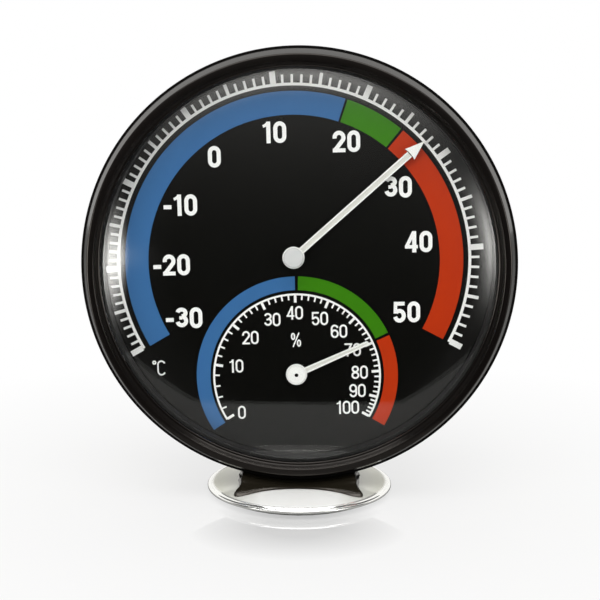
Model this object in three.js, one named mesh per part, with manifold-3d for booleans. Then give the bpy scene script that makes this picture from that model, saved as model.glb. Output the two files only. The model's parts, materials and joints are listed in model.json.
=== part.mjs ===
// A round thermo-hygrometer on a small chrome disc base, in millimetres with +Z up.
// The origin is the middle of the base, on the table. The dial faces -Y.
// Instrument pieces are drawn in a frame of their own: x right, y up the dial, z towards the viewer.
import * as THREE from "three";
import { mergeVertices } from "three/addons/utils/BufferGeometryUtils.js";
import Module from "manifold-3d";

const wasm = await Module();
wasm.setup();

// Clearances
const seatGap = 0.3; // between pieces that rest on each other
const runGap = 0.3; // round shafts, screws and bushes
const socketGap = 0.3; // round the tongue of the saddle

// Case
const caseRadius = 65;
const bezelFront = 12.5; // the bezel's crest, in front of the middle of the case
const caseBack = 12.5; // the wall side, behind the middle of the case
const bezelBandWidth = 4.7;
const bezelBandRise = 4.3;
const bezelFaceWidth = 1.43; // flat face on the crest of the band
const bezelFaceInset = 2.07; // from the band's outer foot to its face
const bezelOuterRound = 0.5;
const bezelFlankTilt = 22; // of the flank's outward direction, in degrees above the side
const bezelInnerRound = 0.5;
const bezelStepWidth = 0.9;
const bezelStepDrop = 0.8;
const bezelLipWidth = 0.7;
const bezelLipRise = 0.9;
const bezelLipRound = 0.4;
const bezelStepRound = 0.35;
const bezelRear = 0.9; // behind the middle of the case
const screwFlangeThickness = 1.8;
const flangeWidth = 6.5; // of the rear case, outside its tub
const tubWall = 1.8;
const tubFloor = 1.8;
const tubCorner = 1.5;
const flangeInset = 0.3; // inside the bezel's outline

// Lens and dial
const lensFront = 12.8;
const lensThickness = 1.6;
const lensCrownRadius = 833;
const lensEdgeWidth = 8;
const lensEdgeRadius = 36;
const lensFlange = 1;
const dialFront = 3.5;
const dialThickness = 0.8;
const dialHoleRadius = 2;
const spacerWidth = 1.5;
const dialLedge = 2.4; // width of the ring that carries the dial

// Movements: the thermometer sits near the middle, the hygrometer below it
const dialTurn = 1.4; // degrees anticlockwise, of the dial and the movements in the case
const thermometerPlace = [-1.65, 2.6]; // of its shaft, from the axis of the case
const hygrometerRoom = 2.5; // between its adjuster and the socket for the tongue
const sheet = 0.8; // frame and hanger metal
const frameWidth = 10;
const frameFrontLeaf = 2.2; // front face of the front leaf
const frameRearLeaf = 7; // front face of the rear leaf, behind the middle of the case
const frameEarReach = 14;
const frameEarWidth = 7;
const frameWebGap = 0.8; // between web and coil
const frameScrewReach = 11.2;
const shaftRadius = 0.8;
const shaftTipRadius = 0.6;
const bushWall = 0.7;
const bushFlange = 1;
const bushFlangeThickness = 0.6;
const colletWall = 1.1;
const coilFront = 1.4; // behind the middle of the case
const adjusterRadius = 5;
const adjusterThickness = 1;
const adjusterHubRadius = 3.6;
const adjusterHubDepth = 2.7;
const adjusterSlotWidth = 1;
const adjusterSlotDepth = 1.2;
const adjusterArmWidth = 3;
const postWidth = 1.2;
const thermometerCoil = { strip: 0.5, width: 4, pitch: 1.1, turns: 6 };
const hygrometerCoil = { strip: 0.4, width: 4, pitch: 0.95, turns: 7 };

// Pointers
const pointerThickness = 0.5;
const arrow = { length: 51.5, width: 2, headLength: 5.5, headWidth: 4.2, hubRadius: 3.3, front: 6 };
const arrowTipWidth = 0.3;
const arrowBarbSweep = 0.2;
const needle = { length: 23.9, width: 1.9, tipWidth: 1.35, hubRadius: 3.2, front: 5 };
const pointerSleeveWall = 0.9;
const hubCapThickness = 1;
const collarThickness = 0.6;
const hubInset = 0.35; // of cap and collar inside the hub disc
const hubRound = 0.25;
const arrowRestAngle = 48.1; // degrees clockwise from the top, 27.8 on the scale
const needleRestAngle = 65.6; // degrees clockwise from the top, 70 on the scale

// Screws
const caseScrew = { head: 2.3, headThickness: 1.6, shank: 1.1, length: 8, sides: 8 };
const frameScrew = { head: 1.8, headThickness: 1.1, shank: 0.8, length: 4.1, sides: 8 };
const hangerScrew = { head: 1.9, headThickness: 0.9, shank: 0.9, length: 3.4, sides: 8 };
const saddleScrew = { head: 2.1, headThickness: 0.8, shank: 1, length: 10, sides: 8 };
const crossWidth = 0.6;
const crossDepth = 0.5;
const bossWall = 1.7;

// Hanger plate and vents
const hangerHeight = 44; // middle of the plate above the middle of the case
const hangerPlateWidth = 28;
const hangerPlateHeight = 20;
const hangerWindowWidth = 14;
const hangerWindowHeight = 15;
const keyholeRadius = 4.2;
const keyholeDrop = 3; // the round end below the plate's middle
const keyholeSlotHalfWidth = 2.2;
const keyholeSlotTop = 4.6;
const ventLength = 12;
const ventWidth = 2;
const ventPitch = 6;
const ventCount = 7;
const ventHeight = 23; // middle of the vents above the middle of the case

// Base
const baseRadius = 28.4;
const baseRimHeight = 2.85;
const baseFootRadius = 25.6;
const baseEdgeHeight = 0.6;
const baseEdgeRound = 0.35;
const basePlateauRadius = 13.5;
const basePlateauHeight = 4.1;
const baseWall = 1;
const padThickness = 0.8;

// Saddle
const saddleSpan = 19.3; // half the width over the toes
const saddleToeReach = 18; // toes ahead of and behind the base's middle
const saddleToeThickness = 0.8;
const saddleWaistReach = 12.8; // its hollow front and back, on the base's axis
const saddleHollowRadius = 27;
const saddleSideReach = 17.2; // its four hollows left and right, from the base's middle
const saddleSidePlace = 8.5; // of these hollows, ahead of and behind the base's middle
const saddleSideRadius = 24;
const saddleWaist = 17.3;
const saddleWaistHeight = 4.9;
const saddleShoulder = 18;
const saddleFlare = 0.6;
const saddleTop = 5.2;
const saddleTopRadius = 70;
const saddleShelfReach = 10.4;
const saddleBlockHalfWidth = 12;
const saddleBlockBack = 11.9;
const tongueHalfWidth = 6;
const tongueThickness = 4.4;
const tonguePlace = 6.7; // middle of the tongue, behind the middle of the case
const tongueHeight = 10;
const socketWall = 1.5;

const smooth = 60; // sides of the large round pieces
const plain = 36; // sides of the round pieces under the base
const fine = 16; // sides of the small round pieces

// Places worked out from the sizes above
const caseCentre = saddleTop + seatGap + caseRadius;
const tubRadius = caseRadius - flangeWidth;
const lensRadius = caseRadius - bezelStepWidth - bezelBandWidth - bezelLipWidth;
const boreRadius = lensRadius + lensFlange + seatGap;
const innerRadius = boreRadius - runGap;
const lensEdge = lensSurface(lensRadius);
const lensRear = lensEdge - lensThickness;
const dialRear = dialFront - dialThickness;
const ledgeTop = dialRear - seatGap;
const flangeFront = -bezelRear - seatGap;
const flangeRear = flangeFront - screwFlangeThickness;
const floorFront = -caseBack + tubFloor;
const tubInner = tubRadius - tubWall;
const caseScrewCircle = (boreRadius + caseRadius) / 2;
const frameRearFace = -frameRearLeaf - sheet;
const adjusterFront = frameRearFace - seatGap;
const bushRadius = shaftRadius + runGap + bushWall;
const colletRadius = shaftRadius + runGap + colletWall;
const bushEnd = adjusterFront - adjusterThickness + seatGap;
const bossTop = frameRearFace - seatGap;
const socketHeight = tongueHeight + socketGap + socketWall;
const adjusterReach = coilOuterRadius(hygrometerCoil) + seatGap + postWidth;
const hygrometerDrop = tubRadius + thermometerPlace[1] - socketHeight - adjusterReach - hygrometerRoom;
const turn = THREE.MathUtils.degToRad(dialTurn);
const hygrometerPlace = [
  thermometerPlace[0] + hygrometerDrop * Math.sin(turn),
  thermometerPlace[1] - hygrometerDrop * Math.cos(turn),
];
const shaftPlaces = [thermometerPlace, hygrometerPlace];

// Height of the lens's outer face at a distance from the axis
function lensSurface(radius) {
  const crownEdge = lensRadius - lensEdgeWidth;
  const crown = Math.min(radius, crownEdge);
  const crownDrop = lensCrownRadius - Math.sqrt(lensCrownRadius ** 2 - crown ** 2);
  if (radius <= crownEdge) return lensFront - crownDrop;
  const startAngle = Math.asin(crownEdge / lensCrownRadius);
  const angle = Math.asin(Math.sin(startAngle) + (radius - crownEdge) / lensEdgeRadius);
  return lensFront - crownDrop - lensEdgeRadius * (Math.cos(startAngle) - Math.cos(angle));
}

// Height of the base's outer top at a distance from its middle
function baseTop(radius) {
  const past = Math.max(0, radius - basePlateauRadius) / (baseRadius - basePlateauRadius);
  return basePlateauHeight - (basePlateauHeight - baseRimHeight) * past ** 2;
}

// A geometry as a manifold solid, with its shared vertices merged
function solid(geometry) {
  const bare = new THREE.BufferGeometry();
  const source = geometry.index ? geometry.toNonIndexed() : geometry;
  bare.setAttribute("position", source.getAttribute("position"));
  const merged = mergeVertices(bare, 1e-4);
  const corners = merged.index.array;
  const triangles = [];
  for (let i = 0; i < corners.length; i += 3) {
    const [a, b, c] = corners.slice(i, i + 3);
    if (a !== b && b !== c && c !== a) triangles.push(a, b, c);
  }
  return new wasm.Manifold(
    new wasm.Mesh({
      numProp: 3,
      vertProperties: merged.attributes.position.array,
      triVerts: new Uint32Array(triangles),
    }),
  );
}

// The geometry of a manifold solid
function surface(body) {
  const mesh = body.getMesh();
  const geometry = new THREE.BufferGeometry();
  geometry.setAttribute("position", new THREE.BufferAttribute(mesh.vertProperties, 3));
  geometry.setIndex(new THREE.BufferAttribute(mesh.triVerts, 1));
  geometry.computeVertexNormals();
  return geometry;
}

const cut = (geometry, ...tools) =>
  surface(tools.reduce((body, tool) => body.subtract(solid(tool)), solid(geometry)));
const join = (geometry, ...others) =>
  surface(others.reduce((body, other) => body.add(solid(other)), solid(geometry)));
const common = (geometry, other) => surface(solid(geometry).intersect(solid(other)));

// A body of revolution about z, from a closed profile of [radius, z]
function turned(profile, sides = smooth) {
  const points = profile.map(([radius, z]) => new THREE.Vector2(radius, z));
  if (THREE.ShapeUtils.area(points) < 0) points.reverse();
  const start = points.findIndex((point, i) => point.x === 0 && points.at(i - 1).x === 0);
  const ordered = start < 0 ? points : [...points.slice(start), ...points.slice(0, start)];
  if (start < 0) ordered.push(ordered[0].clone());
  return new THREE.LatheGeometry(ordered, sides).rotateX(Math.PI / 2);
}

const disc = (radius, bottom, top, sides = smooth) =>
  turned([[0, bottom], [radius, bottom], [radius, top], [0, top]], sides);
const ring = (inner, outer, bottom, top, sides = smooth) =>
  turned([[inner, bottom], [outer, bottom], [outer, top], [inner, top]], sides);

// A box from its lowest to its highest corner
function block([x0, y0, z0], [x1, y1, z1]) {
  const box = new THREE.BoxGeometry(x1 - x0, y1 - y0, z1 - z0);
  return box.translate((x0 + x1) / 2, (y0 + y1) / 2, (z0 + z1) / 2);
}

// A plate from an outline in x and y, between two heights
function plate(outline, bottom, top) {
  const shape = outline instanceof THREE.Shape ? outline : new THREE.Shape(outline);
  const options = { depth: top - bottom, bevelEnabled: false, curveSegments: fine };
  return new THREE.ExtrudeGeometry(shape, options).translate(0, 0, bottom);
}

// A mesh of one piece
function piece(name, geometry, color, roughness, metalness) {
  const mesh = new THREE.Mesh(geometry, new THREE.MeshStandardMaterial({ color, roughness, metalness }));
  mesh.name = name;
  return mesh;
}

const finishes = {
  chrome: [0xdfe2e4, 0.08, 1],
  steel: [0x9a9da0, 0.35, 1],
  brass: [0xb99a52, 0.35, 1],
  bimetal: [0xa59a8c, 0.4, 1],
  blackGloss: [0x0b0a0a, 0.12, 0],
  blackSatin: [0x151515, 0.5, 0],
  dialBlack: [0x101010, 0.6, 0],
  clear: [0xeef2f4, 0.02, 0],
  white: [0xf2f2f0, 0.45, 0],
  grey: [0xd8d8d6, 0.45, 0],
  foam: [0x1c1c1c, 0.9, 0],
};
const make = (name, geometry, finish) => piece(name, geometry, ...finishes[finish]);

// A screw along z: its head lies above z = 0 and its shank below, with a cross in the head
function screw({ head, headThickness, shank, length, sides }) {
  const body = turned(
    [[0, -length], [shank * 0.6, -length], [shank, -length + shank], [shank, 0], [head, 0],
      [head, headThickness * 0.6], [head * 0.7, headThickness], [0, headThickness]],
    sides,
  );
  const arm = head * 0.62;
  const floor = headThickness - crossDepth;
  const bar = block([-arm, -crossWidth / 2, floor], [arm, crossWidth / 2, headThickness + 1]);
  return cut(body, bar, bar.clone().rotateZ(Math.PI / 2));
}

// The bezel's band: a sloping flank, a rounded shoulder, a flat face and a rounded inner edge
function bandProfile() {
  const foot = caseRadius - bezelStepWidth;
  const faceOuter = foot - bezelFaceInset;
  const faceInner = faceOuter - bezelFaceWidth;
  const arc = (middle, radius, start, end, steps) =>
    Array.from({ length: steps + 1 }, (_, i) => {
      const angle = THREE.MathUtils.degToRad(start + ((end - start) * i) / steps);
      return [middle + radius * Math.cos(angle), bezelFront - radius * (1 - Math.sin(angle))];
    });
  return [
    [foot, bezelFront - bezelBandRise],
    ...arc(faceOuter, bezelOuterRound, bezelFlankTilt, 90, 4),
    ...arc(faceInner, bezelInnerRound, 90, 150, 2),
  ];
}

function frontBezel() {
  const bandFoot = bezelFront - bezelBandRise;
  const lipBack = lensEdge + seatGap;
  const profile = [
    [boreRadius, -bezelRear],
    [caseRadius, -bezelRear],
    [caseRadius, bandFoot - bezelStepDrop - bezelStepRound],
    [caseRadius - bezelStepRound, bandFoot - bezelStepDrop],
    [caseRadius - bezelStepWidth, bandFoot - bezelStepDrop],
    ...bandProfile(),
    [lensRadius + bezelLipWidth, lipBack + bezelLipRise],
    [lensRadius + bezelLipRound, lipBack + bezelLipRise],
    [lensRadius, lipBack + bezelLipRise - bezelLipRound],
    [lensRadius, lipBack],
    [boreRadius, lipBack],
  ];
  const pilot = disc(
    caseScrew.shank + runGap,
    -bezelRear - 1,
    -bezelRear + caseScrew.length - screwFlangeThickness,
    fine / 2,
  );
  return cut(turned(profile), ...aroundCase(pilot));
}

// Copies of a geometry at the four case screws
function aroundCase(geometry) {
  return [45, 135, 225, 315].map((degrees) => {
    const copy = geometry.clone().translate(caseScrewCircle, 0, 0);
    return copy.rotateZ(THREE.MathUtils.degToRad(degrees));
  });
}

function lens() {
  const outer = [];
  const crownEdge = lensRadius - lensEdgeWidth;
  for (const share of [0, 0.5, 1]) outer.push([crownEdge * share, lensSurface(crownEdge * share)]);
  const edgeSteps = 4;
  for (let i = 1; i <= edgeSteps; i += 1) {
    const radius = crownEdge + (lensEdgeWidth * i) / edgeSteps;
    outer.push([radius, lensSurface(radius)]);
  }
  const inner = outer
    .filter((point, i) => i % 2 === 0 && point !== outer.at(-1))
    .map(([radius, z]) => [radius * 0.985, z - lensThickness])
    .reverse();
  return turned([
    ...outer,
    [lensRadius + lensFlange, lensEdge],
    [lensRadius + lensFlange, lensRear],
    [lensRadius - 1.2, lensRear],
    ...inner,
  ]);
}

const spacerRing = () =>
  ring(innerRadius - spacerWidth, innerRadius, dialFront + seatGap, lensRear - seatGap);

// Copies of a geometry at the two pointer shafts, turned with the dial
const atShafts = (geometry) =>
  shaftPlaces.map(([x, y]) => geometry.clone().rotateZ(turn).translate(x, y, 0));

function dialPlate() {
  const hole = disc(dialHoleRadius, dialRear - 1, dialFront + 1, fine);
  return cut(disc(innerRadius, dialRear, dialFront), ...atShafts(hole));
}

// Bottom of the tub's wall, level with the saddle's rear block, in the instrument's frame
const tubBottom = -tubRadius;
const tongueBack = -tonguePlace - tongueThickness / 2;
const tongueFront = -tonguePlace + tongueThickness / 2;
const tongueTop = tubBottom + tongueHeight;

function rearCase() {
  const tub = turned([
    [0, -caseBack],
    [tubRadius - tubCorner, -caseBack],
    [tubRadius - tubCorner * 0.3, -caseBack + tubCorner * 0.3],
    [tubRadius, -caseBack + tubCorner],
    [tubRadius, flangeRear],
    [caseRadius - flangeInset, flangeRear],
    [caseRadius - flangeInset, flangeFront],
    [innerRadius, flangeFront],
    [innerRadius, ledgeTop],
    [innerRadius - dialLedge, ledgeTop],
    [innerRadius - dialLedge, flangeRear],
    [tubInner, flangeRear - tubWall],
    [tubInner, floorFront],
    [0, floorFront],
  ]);
  const socketOuter = block(
    [-tongueHalfWidth - socketGap - socketWall, -tubInner - 1, -caseBack + 1],
    [
      tongueHalfWidth + socketGap + socketWall,
      tubBottom + socketHeight,
      tongueFront + socketGap + socketWall,
    ],
  );
  const socketHollow = block(
    [-tongueHalfWidth - socketGap, -tubRadius - 1, tongueBack - socketGap],
    [tongueHalfWidth + socketGap, tongueTop + socketGap, tongueFront + socketGap],
  );
  const frameBoss = disc(frameScrew.shank + runGap + bossWall, floorFront - 0.5, bossTop, fine);
  const framePilot = disc(frameScrew.shank + runGap, floorFront - 0.6, bossTop + 1, fine / 2);
  const bosses = [];
  const holes = atShafts(disc(adjusterHubRadius + runGap, -caseBack - 1, floorFront + 1, fine));
  for (const x of [-frameScrewReach, frameScrewReach]) {
    bosses.push(...atShafts(frameBoss.clone().translate(x, 0, 0)));
    holes.push(...atShafts(framePilot.clone().translate(x, 0, 0)));
  }
  return cut(
    join(tub, common(socketOuter, disc(tubInner + 0.5, -caseBack, 0)), ...bosses),
    socketHollow,
    ...holes,
    ...aroundCase(disc(caseScrew.shank + runGap, flangeRear - 1, flangeFront + 1, fine / 2)),
    ...hangerCuts(),
    ...vents(),
  );
}

function vents() {
  const slots = [];
  for (let i = 0; i < ventCount; i += 1) {
    const x = (i - (ventCount - 1) / 2) * ventPitch;
    const low = ventHeight - ventLength / 2;
    slots.push(
      block(
        [x - ventWidth / 2, low, -caseBack - 1],
        [x + ventWidth / 2, low + ventLength, floorFront + 1],
      ),
    );
  }
  return slots;
}

const hangerScrewReach = (hangerPlateWidth + hangerWindowWidth) / 4;
const recessFloor = -caseBack + sheet + seatGap;

// Recess, window and screw holes for the hanger plate
function hangerCuts() {
  const halfWidth = hangerPlateWidth / 2 + seatGap;
  const halfHeight = hangerPlateHeight / 2 + seatGap;
  const recess = block(
    [-halfWidth, hangerHeight - halfHeight, -caseBack - 1],
    [halfWidth, hangerHeight + halfHeight, recessFloor],
  );
  const window = block(
    [-hangerWindowWidth / 2, hangerHeight - hangerWindowHeight / 2, -caseBack - 1],
    [hangerWindowWidth / 2, hangerHeight + hangerWindowHeight / 2, floorFront + 1],
  );
  const pilot = disc(hangerScrew.shank + runGap, -caseBack - 1, floorFront + 1, fine / 2);
  const pilots = [-1, 1].map((side) => pilot.clone().translate(side * hangerScrewReach, hangerHeight, 0));
  return [recess, window, ...pilots];
}

function hangerPlate() {
  const back = -caseBack;
  const front = back + sheet;
  const sheetMetal = block(
    [-hangerPlateWidth / 2, hangerHeight - hangerPlateHeight / 2, back],
    [hangerPlateWidth / 2, hangerHeight + hangerPlateHeight / 2, front],
  );
  const roundEnd = hangerHeight - keyholeDrop;
  const slot = block(
    [-keyholeSlotHalfWidth, roundEnd, back - 1],
    [keyholeSlotHalfWidth, hangerHeight + keyholeSlotTop, front + 1],
  );
  const hole = disc(hangerScrew.shank + runGap, back - 1, front + 1, fine / 2);
  return cut(
    sheetMetal,
    disc(keyholeRadius, back - 1, front + 1, fine).translate(0, roundEnd, 0),
    slot,
    hole.clone().translate(-hangerScrewReach, hangerHeight, 0),
    hole.clone().translate(hangerScrewReach, hangerHeight, 0),
  );
}

// A flat spiral strip from the collet out to the adjuster's post, which stands at -y
function coil({ strip, width, pitch, turns }) {
  const steps = Math.round(turns * fine);
  const start = colletRadius + seatGap;
  const inner = [];
  const outer = [];
  for (let i = 0; i <= steps; i += 1) {
    const angle = -Math.PI / 2 + ((i - steps) / fine) * 2 * Math.PI;
    const radius = start + (pitch * i) / fine;
    const direction = new THREE.Vector2(Math.cos(angle), Math.sin(angle));
    inner.push(direction.clone().multiplyScalar(radius));
    outer.push(direction.clone().multiplyScalar(radius + strip));
  }
  const gap = leastGap(inner, outer);
  return { geometry: plate([...outer, ...inner.reverse()], -coilFront - width, -coilFront), gap };
}

// The least distance between a turn's outer face and the next turn's inner face
function leastGap(inner, outer) {
  let least = Infinity;
  for (let i = 0; i + fine < inner.length; i += 1) {
    for (let j = i + fine - 3; j <= i + fine && j + 1 < inner.length; j += 1) {
      const line = new THREE.Line3(
        new THREE.Vector3(inner[j].x, inner[j].y, 0),
        new THREE.Vector3(inner[j + 1].x, inner[j + 1].y, 0),
      );
      const point = new THREE.Vector3(outer[i].x, outer[i].y, 0);
      least = Math.min(least, line.closestPointToPoint(point, true, new THREE.Vector3()).distanceTo(point));
    }
  }
  return least;
}

function coilOuterRadius({ strip, pitch, turns }) {
  return colletRadius + seatGap + pitch * turns + strip;
}

// The bent sheet frame: a front leaf, a rear leaf with two ears, and a web above the coil
function movementFrame(coilRadius) {
  const half = frameWidth / 2;
  const webInner = coilRadius + frameWebGap;
  const frontLeaf = block(
    [-half, -half, frameFrontLeaf - sheet],
    [half, webInner + sheet, frameFrontLeaf],
  );
  const web = block([-half, webInner, frameRearFace], [half, webInner + sheet, frameFrontLeaf]);
  const rearLeaf = block([-half, -half, frameRearFace], [half, webInner + sheet, -frameRearLeaf]);
  const ears = block(
    [-frameEarReach, -frameEarWidth / 2, frameRearFace],
    [frameEarReach, frameEarWidth / 2, -frameRearLeaf],
  );
  const bushHole = disc(bushRadius + seatGap, frameRearFace - 1, frameFrontLeaf + 1, fine);
  const screwHole = disc(frameScrew.shank + runGap, frameRearFace - 1, -frameRearLeaf + 1, fine / 2);
  return cut(
    join(frontLeaf, web, rearLeaf, ears),
    bushHole,
    screwHole.clone().translate(-frameScrewReach, 0, 0),
    screwHole.clone().translate(frameScrewReach, 0, 0),
  );
}

// A flanged bush; the flange lies on the coil's side of its leaf
function bush(flangeFace, tubeEnd) {
  const bore = shaftRadius + runGap;
  const flangeEnd = flangeFace - Math.sign(tubeEnd - flangeFace) * bushFlangeThickness;
  return turned(
    [[bore, flangeEnd], [bushRadius + bushFlange, flangeEnd], [bushRadius + bushFlange, flangeFace],
      [bushRadius, flangeFace], [bushRadius, tubeEnd], [bore, tubeEnd]],
    fine,
  );
}

// The slotted wheel that turns on the rear bush and holds the coil's outer end by a post
function adjuster(coilRadius, coilWidth) {
  const rear = adjusterFront - adjusterThickness;
  const hubEnd = rear - adjusterHubDepth;
  const blindEnd = rear - seatGap;
  const wheel = disc(adjusterRadius, rear, adjusterFront, fine);
  const hub = disc(adjusterHubRadius, hubEnd, rear + 0.5, fine);
  const postInner = coilRadius + seatGap;
  const arm = block(
    [-adjusterArmWidth / 2, -postInner - postWidth, rear],
    [adjusterArmWidth / 2, 0, adjusterFront],
  );
  const post = block(
    [-adjusterArmWidth / 2, -postInner - postWidth, rear],
    [adjusterArmWidth / 2, -postInner, -coilFront - coilWidth / 4],
  );
  const bore = disc(bushRadius + runGap, blindEnd, adjusterFront + 1, fine);
  const slot = block(
    [-adjusterHubRadius - 1, -adjusterSlotWidth / 2, hubEnd - 1],
    [adjusterHubRadius + 1, adjusterSlotWidth / 2, hubEnd + adjusterSlotDepth],
  );
  return cut(join(wheel, hub, arm, post), bore, slot);
}

const collet = (coilWidth) =>
  ring(shaftRadius + runGap, colletRadius, -coilFront - coilWidth, -coilFront, fine);

function shaft(pointerFront, tipEnd) {
  return turned(
    [[0, bushEnd], [shaftRadius, bushEnd], [shaftRadius, pointerFront - pointerThickness],
      [shaftTipRadius, pointerFront - pointerThickness], [shaftTipRadius, tipEnd], [0, tipEnd]],
    fine,
  );
}

// A pointer blade with its hub disc and the sleeve behind it, bored for the shaft
function pointer(blade, hubRadius, front) {
  const back = front - pointerThickness;
  const sleeveBack = dialFront + seatGap;
  const sleeveRadius = shaftRadius + runGap + pointerSleeveWall;
  return cut(
    join(
      plate(blade, back, front),
      disc(hubRadius, back, front, fine * 2),
      disc(sleeveRadius, sleeveBack, back + pointerThickness / 2, fine),
    ),
    disc(shaftRadius + runGap, sleeveBack - 1, back - 0.05, fine),
    disc(shaftTipRadius + runGap, back - 1, front + 1, fine),
  );
}

function arrowBlade() {
  const { length, width, headLength, headWidth } = arrow;
  const neck = length - headLength;
  return [
    [width / 2, 0],
    [width / 2, neck + arrowBarbSweep],
    [headWidth / 2, neck],
    [arrowTipWidth / 2, length],
    [-arrowTipWidth / 2, length],
    [-headWidth / 2, neck],
    [-width / 2, neck + arrowBarbSweep],
    [-width / 2, 0],
  ].map(([x, y]) => new THREE.Vector2(x, y));
}

function needleBlade() {
  const { length, width, tipWidth } = needle;
  const tip = tipWidth / 2;
  const shape = new THREE.Shape();
  shape.moveTo(width / 2, 0);
  shape.lineTo(tip, length - tip);
  shape.absarc(0, length - tip, tip, 0, Math.PI, false);
  shape.lineTo(-width / 2, 0);
  shape.closePath();
  return shape;
}

// Everything that sits on one pointer shaft, in a group placed at the shaft
function movement(prefix, [x, y], spiral, pointerPieces) {
  const group = new THREE.Group();
  group.position.set(x, y, 0);
  group.rotation.z = turn;
  const coilRadius = coilOuterRadius(spiral);
  const { geometry, gap } = coil(spiral);
  console.log(`${prefix} coil: least gap between turns ${gap.toFixed(2)} mm`);
  group.add(
    make(`${prefix}_frame`, movementFrame(coilRadius), "steel"),
    make(`${prefix}_front_bush`, bush(frameFrontLeaf - sheet - seatGap, ledgeTop), "brass"),
    make(`${prefix}_rear_bush`, bush(-frameRearLeaf + seatGap, bushEnd), "brass"),
    make(`${prefix}_adjuster`, adjuster(coilRadius, spiral.width), "brass"),
    make(`${prefix}_coil`, geometry, "bimetal"),
    make(`${prefix}_collet`, collet(spiral.width), "brass"),
    ...pointerPieces,
  );
  for (const [side, sign] of [["left", -1], ["right", 1]]) {
    const fastener = make(`${prefix}_frame_screw_${side}`, screw(frameScrew), "steel");
    fastener.position.set(sign * frameScrewReach, 0, -frameRearLeaf + seatGap);
    group.add(fastener);
  }
  return group;
}

function thermometer() {
  const blade = make("thermometer_pointer", pointer(arrowBlade(), arrow.hubRadius, arrow.front), "white");
  blade.rotation.z = -THREE.MathUtils.degToRad(arrowRestAngle) - turn;
  const capBack = arrow.front + seatGap;
  const capFront = capBack + hubCapThickness;
  const tipEnd = capBack + hubCapThickness / 2 - seatGap;
  const capRadius = arrow.hubRadius - hubInset;
  const cap = turned(
    [[0, tipEnd + seatGap], [shaftTipRadius + runGap, tipEnd + seatGap],
      [shaftTipRadius + runGap, capBack], [capRadius, capBack], [capRadius, capFront - hubRound],
      [capRadius - hubRound, capFront], [0, capFront]],
    fine * 2,
  );
  return movement("thermometer", thermometerPlace, thermometerCoil, [
    make("thermometer_shaft", shaft(arrow.front, tipEnd), "steel"),
    blade,
    make("thermometer_hub_cap", cap, "grey"),
  ]);
}

function hygrometer() {
  const blade = make("hygrometer_pointer", pointer(needleBlade(), needle.hubRadius, needle.front), "white");
  blade.rotation.z = -THREE.MathUtils.degToRad(needleRestAngle) - turn;
  const collarBack = needle.front + seatGap;
  const collarFront = collarBack + collarThickness;
  const collarRadius = needle.hubRadius - hubInset;
  const collar = turned(
    [[shaftTipRadius + runGap, collarBack], [collarRadius, collarBack],
      [collarRadius, collarFront - hubRound], [collarRadius - hubRound, collarFront],
      [shaftTipRadius + runGap, collarFront]],
    fine * 2,
  );
  return movement("hygrometer", hygrometerPlace, hygrometerCoil, [
    make("hygrometer_shaft", shaft(needle.front, collarFront - hubRound / 2), "steel"),
    blade,
    make("hygrometer_hub_collar", collar, "white"),
  ]);
}

function instrument() {
  const group = new THREE.Group();
  group.position.z = caseCentre;
  group.rotation.x = Math.PI / 2;
  group.add(
    make("front_bezel", frontBezel(), "blackGloss"),
    make("lens", lens(), "clear"),
    make("spacer_ring", spacerRing(), "blackSatin"),
    make("dial_plate", dialPlate(), "dialBlack"),
    make("rear_case", rearCase(), "blackSatin"),
    make("hanger_plate", hangerPlate(), "steel"),
    thermometer(),
    hygrometer(),
  );
  const turnedBack = screw(caseScrew).rotateX(Math.PI);
  aroundCase(turnedBack).forEach((geometry, i) => {
    const fastener = make(`case_screw_${i + 1}`, geometry, "steel");
    fastener.position.z = flangeRear - seatGap;
    group.add(fastener);
  });
  for (const [side, sign] of [["left", 1], ["right", -1]]) {
    const fastener = make(`hanger_screw_${side}`, screw(hangerScrew).rotateX(Math.PI), "steel");
    fastener.position.set(sign * hangerScrewReach, hangerHeight, -caseBack - seatGap);
    group.add(fastener);
  }
  return group;
}

// The base shell's outer profile, from the rim over the top, sampled on its curve
function baseCurve(lift = 0) {
  const steps = 4;
  const points = [];
  for (let i = 0; i <= steps; i += 1) {
    const radius = baseRadius - ((baseRadius - basePlateauRadius) * i) / steps;
    points.push([radius, baseTop(radius) + lift]);
  }
  return points;
}

const weightBottom = padThickness + seatGap;
const hollowRadius = baseFootRadius - baseWall;

function baseShell() {
  const inside = baseCurve(-baseWall).filter(([radius]) => radius < hollowRadius - 1);
  const shell = turned([
    [baseFootRadius, baseEdgeHeight],
    [(baseFootRadius + 2 * baseRadius) / 3, baseEdgeHeight + baseEdgeRound],
    ...baseCurve(),
    [0, basePlateauHeight],
    [0, basePlateauHeight - baseWall],
    ...inside.reverse(),
    [hollowRadius, baseTop(hollowRadius) - baseWall],
    [hollowRadius, baseEdgeHeight],
  ]);
  return cut(shell, ...underSaddle(disc(saddleScrew.shank + runGap, 0, basePlateauHeight + 1, fine / 2)));
}

// Copies of a geometry at the two saddle screws, which stand under the tongue
const saddleScrewReach = tongueHalfWidth - 2;
function underSaddle(geometry) {
  return [-1, 1].map((side) => geometry.clone().translate(side * saddleScrewReach, tonguePlace, 0));
}

function baseWeight() {
  const rim = hollowRadius - seatGap;
  const top = baseCurve(-baseWall - seatGap).filter(([radius]) => radius < rim - 0.5);
  const profile = [
    [0, weightBottom],
    [rim, weightBottom],
    [rim, baseTop(rim) - baseWall - seatGap],
    ...top,
    [0, basePlateauHeight - baseWall - seatGap],
  ];
  const counterbore = disc(
    saddleScrew.head + runGap,
    0,
    weightBottom + saddleScrew.headThickness + seatGap,
    fine,
  );
  const through = disc(saddleScrew.shank + runGap, 0, basePlateauHeight, fine / 2);
  return cut(turned(profile, plain), ...underSaddle(counterbore), ...underSaddle(through));
}

const footPad = () => disc(hollowRadius - seatGap, 0, padThickness, plain);

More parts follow.
